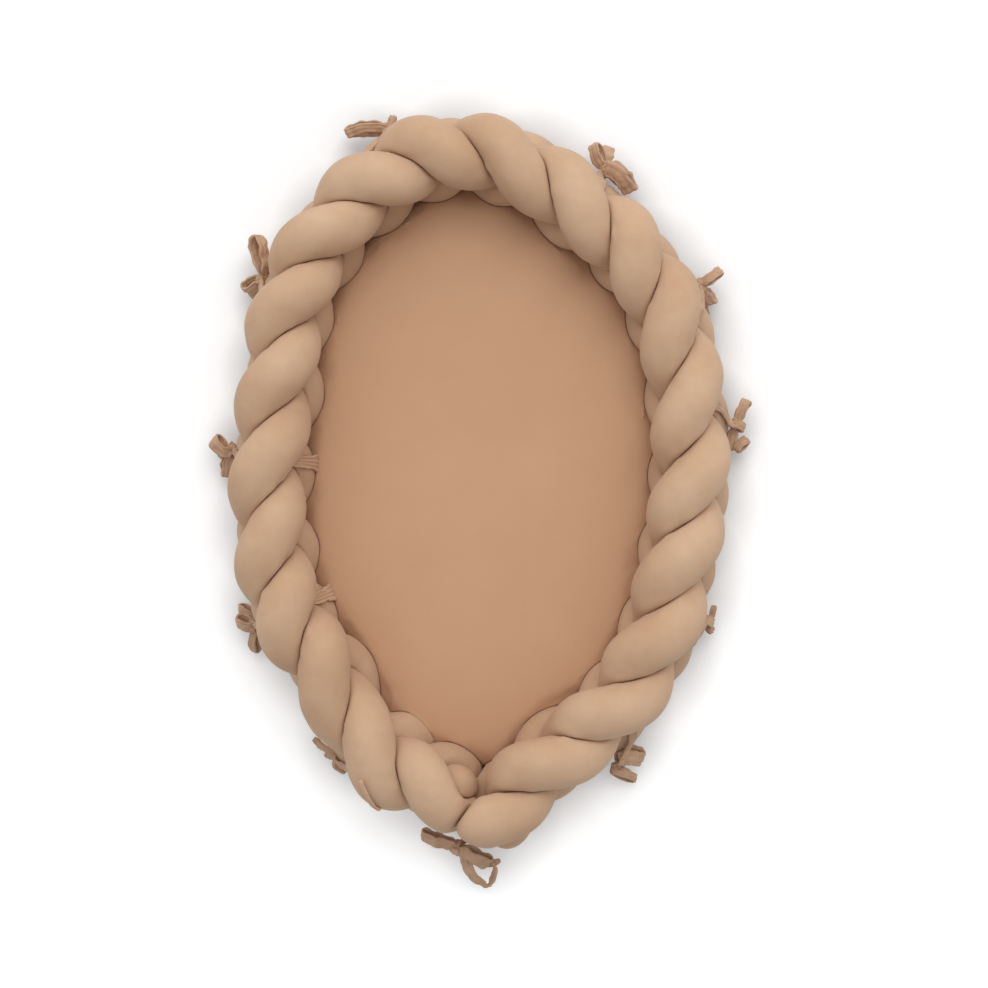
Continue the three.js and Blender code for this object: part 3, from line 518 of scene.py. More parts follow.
def woven_finish(name, colour, shade, variation=0.5, blotch=9):
    """Cotton that wanders between two colours. Blotch sets how fine its blotches are."""
    finish, shader = new_finish(name, colour, COTTON_ROUGHNESS)
    tree = finish.node_tree
    place = add_node(tree, "TexCoord")
    blotches = add_node(tree, "TexNoise", Scale=blotch, Detail=6, Roughness=0.6,
                        Vector=place.outputs["Object"])
    strength = add_node(tree, "MapRange", From_Min=0.35, From_Max=0.65, To_Max=variation,
                        Value=blotches.outputs["Fac"])
    colours = add_node(tree, "Mix")
    colours.data_type = "RGBA"
    set_inputs(colours, A=(*colour, 1), B=(*shade, 1), Factor=strength.outputs["Result"])
    creped = add_node(tree, "TexNoise", Scale=220, Detail=3, Vector=place.outputs["Object"])
    crimp = add_node(tree, "Bump", Strength=0.25, Distance=CRIMP_DEPTH, Height=creped.outputs["Fac"])
    relief = add_node(tree, "Bump", Strength=0.3, Distance=THREAD / 4, Height=raised_weave(tree, place),
                      Normal=crimp.outputs["Normal"])
    set_inputs(shader, Base_Color=colours.outputs["Result"], Normal=relief.outputs["Normal"])
    set_inputs(shader, Specular_IOR_Level=0.25, Sheen_Weight=0.12, Sheen_Roughness=0.5, Sheen_Tint=FUZZ)
    return finish


sand_cotton = woven_finish("sand_cotton", (0.590, 0.394, 0.258), (0.505, 0.312, 0.192), 1.0)
# Painted shade: the ties' cotton is a darker copy of the same cloth, for ties that lie low in the plait's
# shadow.
painted_shade_tie_cotton = woven_finish("painted_shade_tie_cotton", (0.560, 0.365, 0.240), (0.440, 0.265, 0.165), 1.0, 60)
pad_cotton = woven_finish("pad_cotton", (0.560, 0.330, 0.197), (0.520, 0.300, 0.176))
print("cottons:", [finish.name for finish in (sand_cotton, painted_shade_tie_cotton, pad_cotton)])

strands = []
for mesh, letter in zip(strand_meshes, "abc"):
    tube = add_piece(f"braid_{letter}", mesh, sand_cotton, [f"braid_strand_{letter}"])
    strands.append(tube)


def skin_trees(pieces):
    """For each piece, a tree that finds the nearest place on its skin."""
    bpy.context.view_layer.update()
    depsgraph = bpy.context.evaluated_depsgraph_get()
    return [BVHTree.FromObject(piece, depsgraph) for piece in pieces]


strand_trees = skin_trees(strands)
print("tubes placed:", len(strands))

# %% [markdown]
# ## Ties
#
# A tie is a folded and stitched strip of the same cotton, about as wide as a finger nail is long, soft
# and a little stuffed by its own seam allowance. It is swept along a route with a flat section, rounded
# at its edges, that has narrow valleys where the fold is stitched. It rumples and wanders a little on the
# way. After the sweep each point is pushed out of the tubes, so a tie lies on a lobe as cloth does.

# %% Sweeping a tie
TIE_WIDTH = 0.0105
TIE_THICKNESS = 0.0042
STRAP_WIDTH = 0.0125
STRAP_THICKNESS = 0.0040
TIE_SIDES = 32
TIE_SPACING = 0.0014
SECTION_POWER = 3.2
NARROWING = 0.10
SQUEEZE = 0.14
RUMPLE = 0.28
GROOVES = ((0.58, 0.11, 0.60), (-0.30, 0.16, 0.35))


def evenly(arcs, rows, spacing):
    """Rows of numbers along a curve, read off again at even distances."""
    wanted = np.linspace(0, arcs[-1], max(6, int(arcs[-1] / spacing)))
    return np.stack([np.interp(wanted, arcs, column) for column in rows.T], 1)


def resampled(points, spacing=TIE_SPACING):
    """The same route with evenly spaced points on a smooth curve."""
    fine = smooth_curve(points, np.linspace(0, len(points) - 1, 30 * len(points)))
    return evenly(arc_lengths(fine), fine, spacing)


def strip_section(sides, grooves):
    """Places across a strip, from 1 to -1 and back, and how high its skin lies there, from -1 to 1."""
    there = np.linspace(1, -1, sides // 2, endpoint=False)
    x = np.concatenate([there, -there])
    y = (1 - np.abs(x) ** SECTION_POWER) ** (1 / SECTION_POWER)
    y[sides // 2:] *= -1
    for middle, breadth, depth in grooves:
        y = y * (1 - depth * np.exp(-((x - middle) / breadth) ** 2))
    return x, y


def strip_skin(name, route, across, width, thickness, seed, wave=0.0, grooves=GROOVES, sides=TIE_SIDES):
    """A soft strip on evenly spaced points, its width lying along the directions given. It has stitched
    grooves, rumples and wanders by the wave given, and is rounded off at its ends."""
    along = unit(np.gradient(route, axis=0))
    across = unit(across - along * (across * along).sum(1, keepdims=True))
    face = np.cross(across, along)
    x, y = strip_section(sides, grooves)
    arcs = arc_lengths(route)
    round_length = 2 * float(np.mean(width) + thickness)
    around = np.linspace(0, round_length, sides, endpoint=False)
    rumple = cloth_noise(arcs, around, 0.0045, 0.006, round_length, seed)
    squeeze = cloth_noise(arcs, np.zeros(1), 0.009, 1, 1, seed + 7)
    wander = cloth_noise(arcs, np.zeros(1), 0.008, 1, 1, seed + 9)
    from_end = np.minimum(arcs, arcs[-1] - arcs)[:, None]
    taper = np.sqrt(np.clip(from_end / (thickness * 0.8), 0.12, 1))
    x = x * (np.broadcast_to(width, len(route))[:, None] / 2) * (1 + NARROWING * rumple + SQUEEZE * squeeze)
    x = x * (0.6 + 0.4 * taper)
    y = y * (thickness / 2) * (1 + RUMPLE * rumple) * taper
    route = route + face * wander * wave
    points = route[:, None] + across[:, None] * x[:, :, None] + face[:, None] * y[:, :, None]
    return cloth_mesh(name, points, route[0], route[-1])


def tie_sweep(name, route, facing, thickness, seed, width=TIE_WIDTH, spacing=TIE_SPACING):
    """A strip along a route whose flat side turns towards facing, one vector or one for each end. It stays
    on the floor, where the smooth route would dip below it."""
    route = resampled(route, spacing)
    route[:, 2] = np.maximum(route[:, 2], thickness / 2 + SEAT_GAP)
    along = unit(np.gradient(route, axis=0))
    facing = np.atleast_2d(np.asarray(facing, float))
    share = np.linspace(0, 1, len(route))[:, None]
    face = facing[0] * (1 - share) + facing[-1] * share
    return strip_skin(name, route, np.cross(along, face), width, thickness, seed)


def mesh_points(mesh):
    points = np.empty(len(mesh.vertices) * 3, np.float32)
    mesh.vertices.foreach_get("co", points)
    return points.reshape(-1, 3)


def set_points(mesh, points):
    mesh.vertices.foreach_set("co", points.astype(np.float32).ravel())
    mesh.update()


def keep_clear(mesh, gap, trees, reach=0.02):
    """Moves each point that is in a tube, or too near it, out to the tube's skin, and off the floor."""
    points = mesh_points(mesh)
    moved = 0
    for i, point in enumerate(points):
        point = Vector(point)
        for tree in trees:
            place, normal, _, _ = tree.find_nearest(point, reach)
            if place is not None and (point - place).dot(normal) < gap:
                point = place + normal * gap
                points[i] = point
                moved += 1
    points[:, 2] = np.maximum(points[:, 2], SEAT_GAP)
    set_points(mesh, points)
    return moved


# %% [markdown]
# ## Where a tie wraps a tube
#
# A tie that is pulled round a lobe takes the shortest way over it. The lobe's skin is cut by a plane
# square to the path, and the strip follows the cut at half its thickness. Taking the farthest skin within
# the strip's width keeps the strip from cutting into the cloth on either side.


# %% Routes over a tube
SECTION_LOBES = 0.6
SECTION_ROWS = 90
SECTION_SIDES = 60
SECTION_END = 0.01


def section_points(strand, lobe, half_band):
    """Skin points close to a section of the braid, as places out from the path and up from the floor."""
    first = max(lobe - SECTION_LOBES, BRAID_START + SECTION_END)
    last = min(lobe + SECTION_LOBES, BRAID_END - SECTION_END)
    lobes = np.linspace(first, last, SECTION_ROWS)
    radii = np.full(len(lobes), STRAND_RADIUS)
    middles, directions, free, pressed = strand_skin(strand, lobes, radii, SECTION_SIDES)
    reach = blended(lobes, free, pressed)
    points = (middles[:, None] + directions * reach[:, :, None]).reshape(-1, 3)
    offset = points - path_point(lobe)
    near = np.abs(offset @ path_direction(lobe)[0]) < half_band
    return np.stack([offset @ outward(lobe)[0], points[:, 2]], 1)[near]


def wrap_route(points, middle, clearance, from_degrees, to_degrees, steps, half_band):
    route = []
    for turn in np.radians(np.linspace(from_degrees, to_degrees, steps)):
        direction = np.array([np.cos(turn), np.sin(turn)])
        offset = points - middle
        beside = np.abs(offset[:, 0] * direction[1] - offset[:, 1] * direction[0]) < half_band
        reach = (offset[beside] @ direction).max(initial=0.0)
        route.append(middle + direction * (reach + clearance))
    return np.array(route)


def low_strand(lobe, inside):
    return (lobe + (1 if inside else 2)) % STRANDS


def section_middle(strand, lobe):
    middle = strand_middle(strand, lobe)[0]
    return np.array([(middle - path_point(lobe)[0]) @ outward(lobe)[0], middle[2]])


def placed(lobe, route, onward=0.0):
    """A route in a section of the braid, as points in space."""
    onward = np.broadcast_to(onward, len(route))
    points = [beside_path(lobe, out, height, on)[0] for (out, height), on in zip(route, onward)]
    return np.array(points)


# %% [markdown]
# ## The strips inside the nest
#
# Each tie starts in the mattress seam, and its inner strip rises between the mattress and the braid. Two
# of the strips show: they go over the low inner lobe, gathered into folds, and narrow into the crease
# under the crown. The others slip under the lobe beside them.

# %% Inner strips
MATTRESS_INSET = 0.0455
FLANGE_TOP = 0.0027
SEAM_OUT = 0.006
SEAM_DEGREES = 208
CREASE_DEGREES = 106
HIDDEN_DEGREES = 194
INNER_STEPS = 13
GATHERED = ("mid_left", "low_left")
GATHERED_WIDTH = 0.026
GATHERED_THICKNESS = 0.0038
GATHERED_WAVE = 0.0004
GATHERED_SIDES = 72
GATHERED_GROOVES = ((0.45, 0.13, 0.90), (-0.05, 0.12, 0.85), (-0.52, 0.13, 0.90))
tie_lobes = {
    "foot_left": 1, "low_left": 3, "mid_left": 5, "upper_left": 7, "head_left": 9,
    "head_right": 12, "upper_right": 14, "mid_right": 15, "low_right": 18, "foot_right": 19,
}


def inner_strip(name, lobe, gathered, seed):
    """A strip from the seam over the low lobe. A gathered one fans out from the crease, the others slip
    under the lobe beside them."""
    strand = low_strand(lobe, True)
    points = section_points(strand, lobe, TIE_WIDTH)
    middle = section_middle(strand, lobe)
    last = CREASE_DEGREES if gathered else HIDDEN_DEGREES
    thickness = GATHERED_THICKNESS if gathered else STRAP_THICKNESS
    clearance = thickness / 2 + SEAT_GAP
    wrap = wrap_route(points, middle, clearance, SEAM_DEGREES, last, INNER_STEPS, TIE_WIDTH / 2)
    seam = [(SEAM_OUT - MATTRESS_INSET, FLANGE_TOP + thickness / 2)]
    route = resampled(placed(lobe, np.concatenate([seam, wrap])))
    along = unit(np.gradient(route, axis=0))
    across = np.cross(along, -outward(lobe)[0] + np.array([0, 0, 0.6]))
    if not gathered:
        return strip_skin(name, route, across, STRAP_WIDTH, thickness, seed)
    widths = GATHERED_WIDTH * np.linspace(1, 0.5, len(route))
    return strip_skin(name, route, across, widths, thickness, seed, GATHERED_WAVE, GATHERED_GROOVES,
                      GATHERED_SIDES)


inner_strips = []
for count, (name, lobe) in enumerate(tie_lobes.items()):
    strip = inner_strip(f"inner_strip_{name}", lobe, name in GATHERED, 100 + count)
    keep_clear(strip, SEAT_GAP, strand_trees)
    # Hidden strips take the tie cotton painted darker as shade; the gathered ones that show keep the plain
    # cotton.
    finish = sand_cotton if name in GATHERED else painted_shade_tie_cotton
    piece = add_piece(strip.name, strip, finish, [f"tie_{name}_inner"])
    inner_strips.append(piece)
strip_trees = skin_trees(inner_strips)
print("inner strips:", len(inner_strips))

# %% [markdown]
# ## The bows outside
#
# Outside, one strip comes from under the braid and one from over the outer low lobe, and they are tied in
# a small bow. No two bows in the picture are alike: one stands up as a tall loop, some have slumped, and
# at the foot a loop hangs open. So each bow has its own table. A line of it is a loop or a loose end, and
# gives:
#
# - its tilt in degrees: 90 lies flat with its two layers one on the other, 0 stands on edge;
# - how far apart the two layers are, or 0 for a loose end, and the strip's width, in millimetres;
# - the places it runs through, as millimetres from the knot to the right, towards the head and up.

# %% Tables of loops and loose ends
bows = {
    "head_left": ((-116, 443, 46), [
        (55, 9, 12.5, [(1, 2, 4), (-16, 4, 6), (-33, 4, 2), (-47, 1, -6)]),
        (80, 5, 11, [(1, 2, 4), (5, 7, 6), (7, 13, 6)]),
        (90, 0, 11, [(-3, -1, -4), (-26, 0, -12), (-50, 2, -20)]),
    ]),
    "upper_left": ((-270, 261, 48), [
        (142, 17, 16, [(2, 4, 4), (0, 18, 10), (-4, 33, 12), (-6, 43, 10)]),
        (35, 15, 17, [(-2, -2, -2), (-11, -6, -6), (-21, -10, -12)]),
        (90, 0, 11, [(-2, -4, -6), (-13, -12, -16), (-22, -20, -28)]),
    ]),
    "mid_left": ((-311, 49, 46), [
        (60, 11, 17, [(1, -3, 4), (-9, 0, 6), (-16, 9, 4)]),
        (65, 10, 14, [(0, -5, -2), (-6, -15, -8), (-8, -27, -16)]),
        (90, 0, 10, [(-2, 2, -6), (-12, -2, -14), (-20, -8, -22)]),
    ]),
    "low_left": ((-281, -168, 44), [
        (48, 14, 16, [(2, 0, 4), (-7, 1, 4), (-16, 4, -2)]),
        (60, 12, 14, [(2, 5, -4), (-8, 14, -10), (-17, 18, -17)]),
        (120, 8, 13, [(0, -8, -4), (-3, -21, -10), (-4, -31, -18)]),
    ]),
    "foot_left": ((-176, -328, 44), [
        (90, 0, 9, [(-3, 2, -2), (-19, 7, -8), (-34, 18, -14)]),
        (60, 8, 11, [(-1, -3, -2), (-3, -12, -4), (3, -19, -10)]),
        (90, 0, 8, [(-4, -2, -6), (-12, -4, -14), (-20, -2, -22)]),
    ]),
    "head_right": ((153, 395, 52), [
        (50, 12, 15, [(-2, -3, 0), (-9, 9, 4), (-12, 20, 4)]),
        (115, 14, 20, [(0, -3, 6), (11, -8, 8), (21, -17, 2), (27, -24, -6)]),
        (90, 0, 18, [(0, 3, -2), (0, 14, -4), (4, 26, -10)]),
        (90, 0, 11, [(2, -4, -8), (13, -14, -18), (25, -20, -26)]),
    ]),
    "upper_right": ((268, 247, 46), [
        (75, 7, 13.5, [(0, 2, 4), (10, 9, 4), (22, 18, 0)]),
        (120, 11, 15, [(2, -4, -2), (7, -9, -6), (12, -15, -12)]),
        (90, 0, 9, [(2, -13, -8), (6, -22, -16), (9, -33, -24)]),
    ]),
    "mid_right": ((313, 77, 46), [
        (75, 6, 12, [(-3, 1, 2), (2, 13, 2), (9, 27, -2)]),
        (90, 0, 13, [(-4, -3, -2), (-7, -17, -8), (-5, -30, -14)]),
        (70, 8, 12, [(-3, -30, -12), (3, -24, -12), (10, -18, -16)]),
    ]),
    "low_right": ((275, -162, 42), [
        (80, 0, 9, [(2, 1, -2), (7, 8, -6), (10, 19, -10)]),
        (60, 6, 9, [(2, -3, -4), (3, -7, -8), (5, -11, -14)]),
    ]),
    "foot_right": ((170, -329, 46), [
        (110, 12, 22, [(-3, 2, 4), (9, 4, 2), (21, 2, -6)]),
        (60, 8, 13, [(-12, -14, -10), (2, -20, -14), (16, -27, -22)]),
        (90, 0, 10, [(2, -3, -4), (-3, -8, -8), (-10, -12, -10)]),
    ]),
    "foot": ((-31, -438, 48), [
        (60, 10, 16, [(-1, 3, 4), (-20, 8, 4), (-38, 13, -4)]),
        (115, 9, 17, [(2, -1, 4), (21, -11, -2), (36, -20, -10)]),
        (90, 0, 8, [(36, -24, -12), (44, -23, -14), (53, -20, -18)]),
    ]),
}
open_loop_places = [
    (8, -11, -2), (15, -30, -10), (25, -45, -18), (37, -51, -20), (45, -42, -18), (46, -29, -16),
    (41, -20, -12),
]
print("loops and loose ends:", sum(len(items) for _, items in bows.values()))

# %% Bows
MILLIMETRE = 0.001
KNOT_RADIUS = 0.0062
KNOT_WIDTH = 0.0110
GATHER = 0.55
GATHERED_WITHIN = 0.012
BOW_WAVE = 0.0015
KNOT_TURNS = 1.25


def leaning(axis, tilt):
    """For each point of an axis, the direction from layer to layer and that of the strip's width."""
    along = unit(np.gradient(axis, axis=0))
    level = unit(np.cross([0, 0, 1], along))
    upright = np.cross(along, level)
    turn = math.radians(tilt)
    apart = level * math.cos(turn) + upright * math.sin(turn)
    return apart, np.cross(along, apart)


def there_and_back(axis, apart, across, spread):
    """A loop's route: out along its axis, round the tip and back, fullest a little before the tip."""
    share = np.linspace(0, 1, len(axis))[:, None]
    half = spread / 2 * (0.4 + 0.6 * np.sin(2.2 * share))
    bend = np.linspace(np.pi / 2, -np.pi / 2, 9)[1:-1, None]
    onward = unit(axis[-1] - axis[-2])
    tip = axis[-1] + half[-1] * (apart[-1] * np.sin(bend) + onward * np.cos(bend))
    route = np.concatenate([axis + apart * half, tip, (axis - apart * half)[::-1]])
    across = np.concatenate([across, np.repeat(across[-1:], len(tip), axis=0), across[::-1]])
    arcs = arc_lengths(route)
    return evenly(arcs, route, TIE_SPACING), evenly(arcs, across, TIE_SPACING)


def knot_band(name, knot, pull, seed):
    """A turn and a bit of the strip round the middle of a bow, drawn tight."""
    pull = unit(pull)
    side = unit(np.cross([0, 0, 1], pull))
    upright = np.cross(pull, side)
    turn = np.linspace(0, KNOT_TURNS * 2 * np.pi, 40)[:, None]
    radius = KNOT_RADIUS + TIE_THICKNESS * 0.5 * turn / np.pi / 2
    route = knot + radius * (side * np.cos(turn) + upright * np.sin(turn))
    lean = pull + 0.25 * side * np.sin(turn + seed)
    return strip_skin(name, route, lean, KNOT_WIDTH, TIE_THICKNESS, seed)


def bow_meshes(name, seed):
    knot, items = bows[name]
    knot = np.array(knot) * MILLIMETRE
    parts = []
    for count, (tilt, spread, width, places) in enumerate(items):
        route = resampled(knot + np.array(places) * MILLIMETRE)
        if count == 0:
            parts.append(knot_band(f"{name}_knot", knot, route[-1] - route[0], seed))
        apart, across = leaning(route, tilt)
        if spread:
            route, across = there_and_back(route, apart, across, spread * MILLIMETRE)
        free = eased(0, GATHERED_WITHIN, np.linalg.norm(route - knot, axis=1))
        widths = width * MILLIMETRE * (GATHER + (1 - GATHER) * free)
        part_name = f"{name}_{count}"
        part_seed = seed + count + 1
        parts.append(strip_skin(part_name, route, across, widths, TIE_THICKNESS, part_seed, BOW_WAVE))
    return knot, parts


# %% Outer strips
UNDER_THICKNESS = 0.0018
UNDER_SPACING = 0.003
UNDER_MIDDLE = 0.0014
OVER_FROM = 84
OVER_TO = 12
OVER_STEPS = 8


def outer_strips(name, lobe, knot, seed):
    """The strip that comes over the low lobe and the one that comes from under the braid, to the knot."""
    strand = low_strand(lobe, False)
    points = section_points(strand, lobe, TIE_WIDTH)
    middle = section_middle(strand, lobe)
    out, along = outward(lobe)[0], path_direction(lobe)[0]
    shift = (knot - path_point(lobe)[0]) @ along
    clearance = STRAP_THICKNESS / 2 + SEAT_GAP
    wrap = wrap_route(points, middle, clearance, OVER_FROM, OVER_TO, OVER_STEPS, TIE_WIDTH / 2)
    over = placed(lobe, wrap, shift * np.linspace(0, 0.9, len(wrap)) ** 2)
    over = np.concatenate([over, [knot]])
    under = placed(lobe, [
        (0.010 - MATTRESS_INSET, FLANGE_TOP + UNDER_MIDDLE),
        (0.016 - MATTRESS_INSET, FLANGE_TOP),
        (0.022 - MATTRESS_INSET, UNDER_MIDDLE),
        (0.0, UNDER_MIDDLE),
        (0.7 * BRAID_FLANK, UNDER_MIDDLE),
        (BRAID_FLANK, 0.006),
        (BRAID_FLANK + 0.004, 0.024),
    ], shift * np.array([0, 0, 0, 0, 0.3, 0.6, 0.8]))
    under = np.concatenate([under, [knot]])
    up = np.array([0, 0, 1])
    return [
        tie_sweep(f"{name}_over", over, (up, out), STRAP_THICKNESS, seed),
        tie_sweep(f"{name}_under", under, (up, -out), UNDER_THICKNESS, seed + 1, spacing=UNDER_SPACING),
    ]


for count, (name, lobe) in enumerate(tie_lobes.items()):
    knot, parts = bow_meshes(name, 200 + 10 * count)
    bow = joined(f"bow_{name}", parts)
    keep_clear(bow, SEAT_GAP, strand_trees)
    strips = joined(f"strips_{name}", outer_strips(name, lobe, knot, 300 + 10 * count))
    keep_clear(strips, 0, [])
    whole = joined(f"outer_tie_{name}", [bow, strips])
    # The bows and outer strips take the tie cotton painted darker as shade.
    add_piece(whole.name, whole, painted_shade_tie_cotton, [f"tie_{name}_outer"])
print("bows:", len(tie_lobes))

# %% [markdown]
# ## The foot tie and the end tapes
#
# The braid's two ends meet in a V at the foot. Two strips from the mattress's tip pass under the V and
# are tied in front of it, with a wide loop to the left and an open loop that hangs to the right. A folded
# tape is sewn to the underside of each end of the plait to keep the tubes together.

# %% Mattress outline
def flank_outline(inset, count):
    """The path moved in, from where its two ends meet at the foot and round to there again."""
    side = beside_path(np.linspace(BRAID_START, BRAID_END, 901), -inset, 0)
    quarter = len(side) // 4
    left, right = side[:quarter], side[-quarter:]
    apart = np.linalg.norm(left[:, None] - right[None, :], axis=2)
    first, last = np.unravel_index(apart.argmin(), apart.shape)
    kept = side[first:len(side) - quarter + last + 1]
    kept = np.concatenate([kept, kept[:1]])
    arcs = arc_lengths(kept)
    wanted = np.linspace(0, arcs[-1], count, endpoint=False)
    return np.stack([np.interp(wanted, arcs, kept[:, axis]) for axis in range(3)], 1)


OUTLINE_STEPS = 240
mattress_outline = flank_outline(MATTRESS_INSET, OUTLINE_STEPS)
mattress_tip = mattress_outline[0]
mattress_middle = np.array([0, (mattress_tip[1] + mattress_outline[:, 1].max()) / 2, 0])
mattress_size = mattress_outline.max(0) - mattress_outline.min(0)
print("mattress, in metres:", mattress_size[:2].round(3))

# %% Foot tie
FOOT_FRONT = (0.005, -0.424, 0)
OPEN_LOOP_WIDTH = 0.0130
knot, parts = bow_meshes("foot", 400)
front = np.array(FOOT_FRONT)
run = unit(front - mattress_tip)
aside = np.cross([0, 0, 1], run)
strips = []
for side in (-1, 1):
    offset = aside * side * (TIE_WIDTH / 2 + SEAT_GAP)
    strip = np.array([
        mattress_tip + run * 0.004 + [0, 0, FLANGE_TOP + UNDER_MIDDLE],
        mattress_tip + run * 0.014 + [0, 0, FLANGE_TOP],
        mattress_tip + run * 0.022 + [0, 0, UNDER_MIDDLE],
        front + [0, 0, UNDER_MIDDLE],
        (front + knot) / 2 + offset * -0.3 + [0, 0, -0.006],
        knot - offset,
    ]) + offset
    facing = ((0, 0, 1), run)
    strips.append(tie_sweep(f"foot_strip_{side}", strip, facing, UNDER_THICKNESS, 440 + side,
                            spacing=UNDER_SPACING))
foot_strips = joined("foot_strips", strips)
keep_clear(foot_strips, 0, [])
open_loop = resampled(knot + np.array(open_loop_places) * MILLIMETRE)
twist = np.linspace(0, 1, len(open_loop))[:, None]
width_way = np.array([0.8, 0.4, -0.3]) * (1 - twist) + np.array([0.2, 0.1, 1.0]) * twist
hanging = strip_skin("foot_open_loop", open_loop, width_way, OPEN_LOOP_WIDTH, TIE_THICKNESS, 470, BOW_WAVE)
foot_bow = joined("foot_bow", [*parts, hanging])
keep_clear(foot_bow, SEAT_GAP, strand_trees)
foot_skin = joined("foot_tie_bow", [foot_bow, foot_strips])
# The foot tie takes the tie cotton painted darker as shade.
add_piece(foot_skin.name, foot_skin, painted_shade_tie_cotton, ["foot_tie"])
print("foot tie:", len(foot_skin.polygons), "faces")

# %% End tapes
TAPE_WIDTH = 0.016
TAPE_THICKNESS = 0.0024
TAPE_GAP = 0.0004
TAPE_FROM = -95
TAPE_TO = -52
TAPE_STEPS = 16
for name, lobe in (("left", 0), ("right", LOBES - 1)):
    points = np.concatenate([section_points(strand, lobe, TAPE_WIDTH) for strand in range(STRANDS)])
    middle = np.array([0, BRAID_MIDDLE])
    wrap = wrap_route(points, middle, TAPE_GAP, TAPE_FROM, TAPE_TO, TAPE_STEPS, TAPE_WIDTH / 3)
    route = placed(lobe, wrap)
    tape = tie_sweep(f"end_tape_{name}", route, outward(lobe)[0], TAPE_THICKNESS, 460, TAPE_WIDTH)
    keep_clear(tape, SEAT_GAP, strand_trees)
    add_piece(f"tape_{name}", tape, sand_cotton, [f"braid_end_tape_{name}"])
print("end tapes:", round(arc_lengths(route)[-1] * 1000), "mm long")

# %% [markdown]
# ## A tab of the closing seam
#
# Each tube was sewn shut by hand after it was stuffed. On the lobe nearest the foot's left side the end
# of that seam stands up as a short tab.

# %% Seam tab
TAB_PLACES = [(-133, -338, 147), (-130, -350, 143), (-124, -365, 134), (-118, -382, 120)]
TAB_WIDTH = 0.0062
TAB_THICKNESS = 0.0032
TAB_LIFTS = (0.0062, 0.0020)


def on_skin(tree, points, lift):
    """Each point moved to the nearest skin and then off it by a lift of its own, and the skin's normals."""
    found = [tree.find_nearest(Vector(point)) for point in points]
    normals = np.array([normal for _, normal, _, _ in found])
    return np.array([place for place, _, _, _ in found]) + normals * lift[:, None], normals


tube = strands[1]
tab_route = resampled(np.array(TAB_PLACES) * MILLIMETRE)
tab_route, tab_normals = on_skin(strand_trees[1], tab_route, np.linspace(*TAB_LIFTS, len(tab_route)))
tab_across = np.cross(np.gradient(tab_route, axis=0), tab_normals)
tab = strip_skin("seam_tab", tab_route, tab_across, TAB_WIDTH, TAB_THICKNESS, 480)
tube.data = joined("tube_with_tab", [tube.data, tab])
tube.data.materials.append(sand_cotton)
print("seam tab:", round(arc_lengths(tab_route)[-1] * 1000), "mm long")

# %% [markdown]
# ## The mattress
#
# The mattress is a foam pad with a layer of wadding, in a cotton cover that bulges gently against the
# lobes. Its look comes from cloth simulation: a plain closed shape is blown up by a little pressure
# inside, the movement is capped, and the result is kept. That rounds the edges and lets the cover swell
# as sewn ones do. Afterwards its points are pushed clear of the tubes, which press soft hollows into its
# edge.


# %% Rings of the pad
def outline_ring(out, height):
    before, after = np.roll(mattress_outline, 1, axis=0), np.roll(mattress_outline, -1, axis=0)
    along = unit(after - before)
    normal = np.stack([-along[:, 1], along[:, 0], 0 * along[:, 0]], 1)
    return mattress_outline + normal * out + [0, 0, height]


def crown_rings(rim, height, rise, shares):
    """Rings drawn in towards the middle, on a crown that rises towards it."""
    rings = []
    for share in shares:
        ring = mattress_middle + (rim - mattress_middle) * share
        ring[:, 2] = height + rise * (1 - share ** 2)
        rings.append(ring)
    return rings


def pad_mesh(name, profile, rise, shares):
    """A closed pad: its underside, a profile of (out, height) up its side, and its crown."""
    first, last = profile[0], profile[-1]
    rings = crown_rings(outline_ring(first[0], 0), first[1], 0, shares[::-1])
    rings += [outline_ring(out, height) for out, height in profile]
    rings += crown_rings(outline_ring(last[0], 0), last[1], rise, shares)
    bottom = mattress_middle + [0, 0, first[1]]
    top = mattress_middle + [0, 0, last[1] + rise]
    return cloth_mesh(name, np.array(rings), bottom, top)


crown_steps = np.linspace(0.97, 0.04, 34)
COVER_CROWN = 0.005
cover_profile = [
    (0.010, 0.0030), (0.018, 0.0060), (0.022, 0.0130), (0.021, 0.0220),
    (0.016, 0.0290), (0.008, 0.0340), (0.0, 0.0365),
]
cover_mesh = pad_mesh("pad_cover", cover_profile, COVER_CROWN, crown_steps)
print("cover before puffing:", len(cover_mesh.polygons), "faces")


# %% Puffing the cover
def evaluated(piece):
    return piece.evaluated_get(bpy.context.evaluated_depsgraph_get())


def puffed(piece, voxel, pressure, frames, cap):
    """Remeshes a closed piece evenly, blows it up with cloth simulation and keeps the result."""
    even = piece.modifiers.new("even", "REMESH")
    even.mode = "VOXEL"
    even.voxel_size = voxel
    bpy.context.view_layer.update()
    piece.data = bpy.data.meshes.new_from_object(evaluated(piece))
    piece.modifiers.clear()
    rest = mesh_points(piece.data)
    cloth = piece.modifiers.new("puff", "CLOTH")
    cloth.settings.use_pressure = True
    cloth.settings.uniform_pressure_force = pressure
    cloth.settings.quality = 5
    cloth.settings.tension_stiffness = 15
    cloth.settings.bending_stiffness = 0.5
    cloth.settings.effector_weights.gravity = 0
    cloth.point_cache.frame_start = 1
    cloth.point_cache.frame_end = frames
    for step in range(1, frames + 1):
        scene.frame_set(step)
    ended = mesh_points(evaluated(piece).to_mesh())
    piece.modifiers.clear()
    scene.frame_set(1)
    move = ended - rest
    size = np.linalg.norm(move, axis=1, keepdims=True)
    move *= np.minimum(1, cap / np.maximum(size, 1e-9))
    set_points(piece.data, rest + move)
    print("puffed", piece.name, "by up to", round(float(size.max()) * 1000, 1), "mm")


PAD_VOXEL = 0.005
PUFF_PRESSURE = 4
PUFF_FRAMES = 20
PUFF_CAP = 0.006
pad_cover = add_piece("pad_cover", cover_mesh, pad_cotton, ["mattress_cover_top"])
puffed(pad_cover, PAD_VOXEL, PUFF_PRESSURE, PUFF_FRAMES, PUFF_CAP)

# %% Settling the cover between the tubes
COVER_FLOOR = 0.0016
COVER_GAP = 0.0006


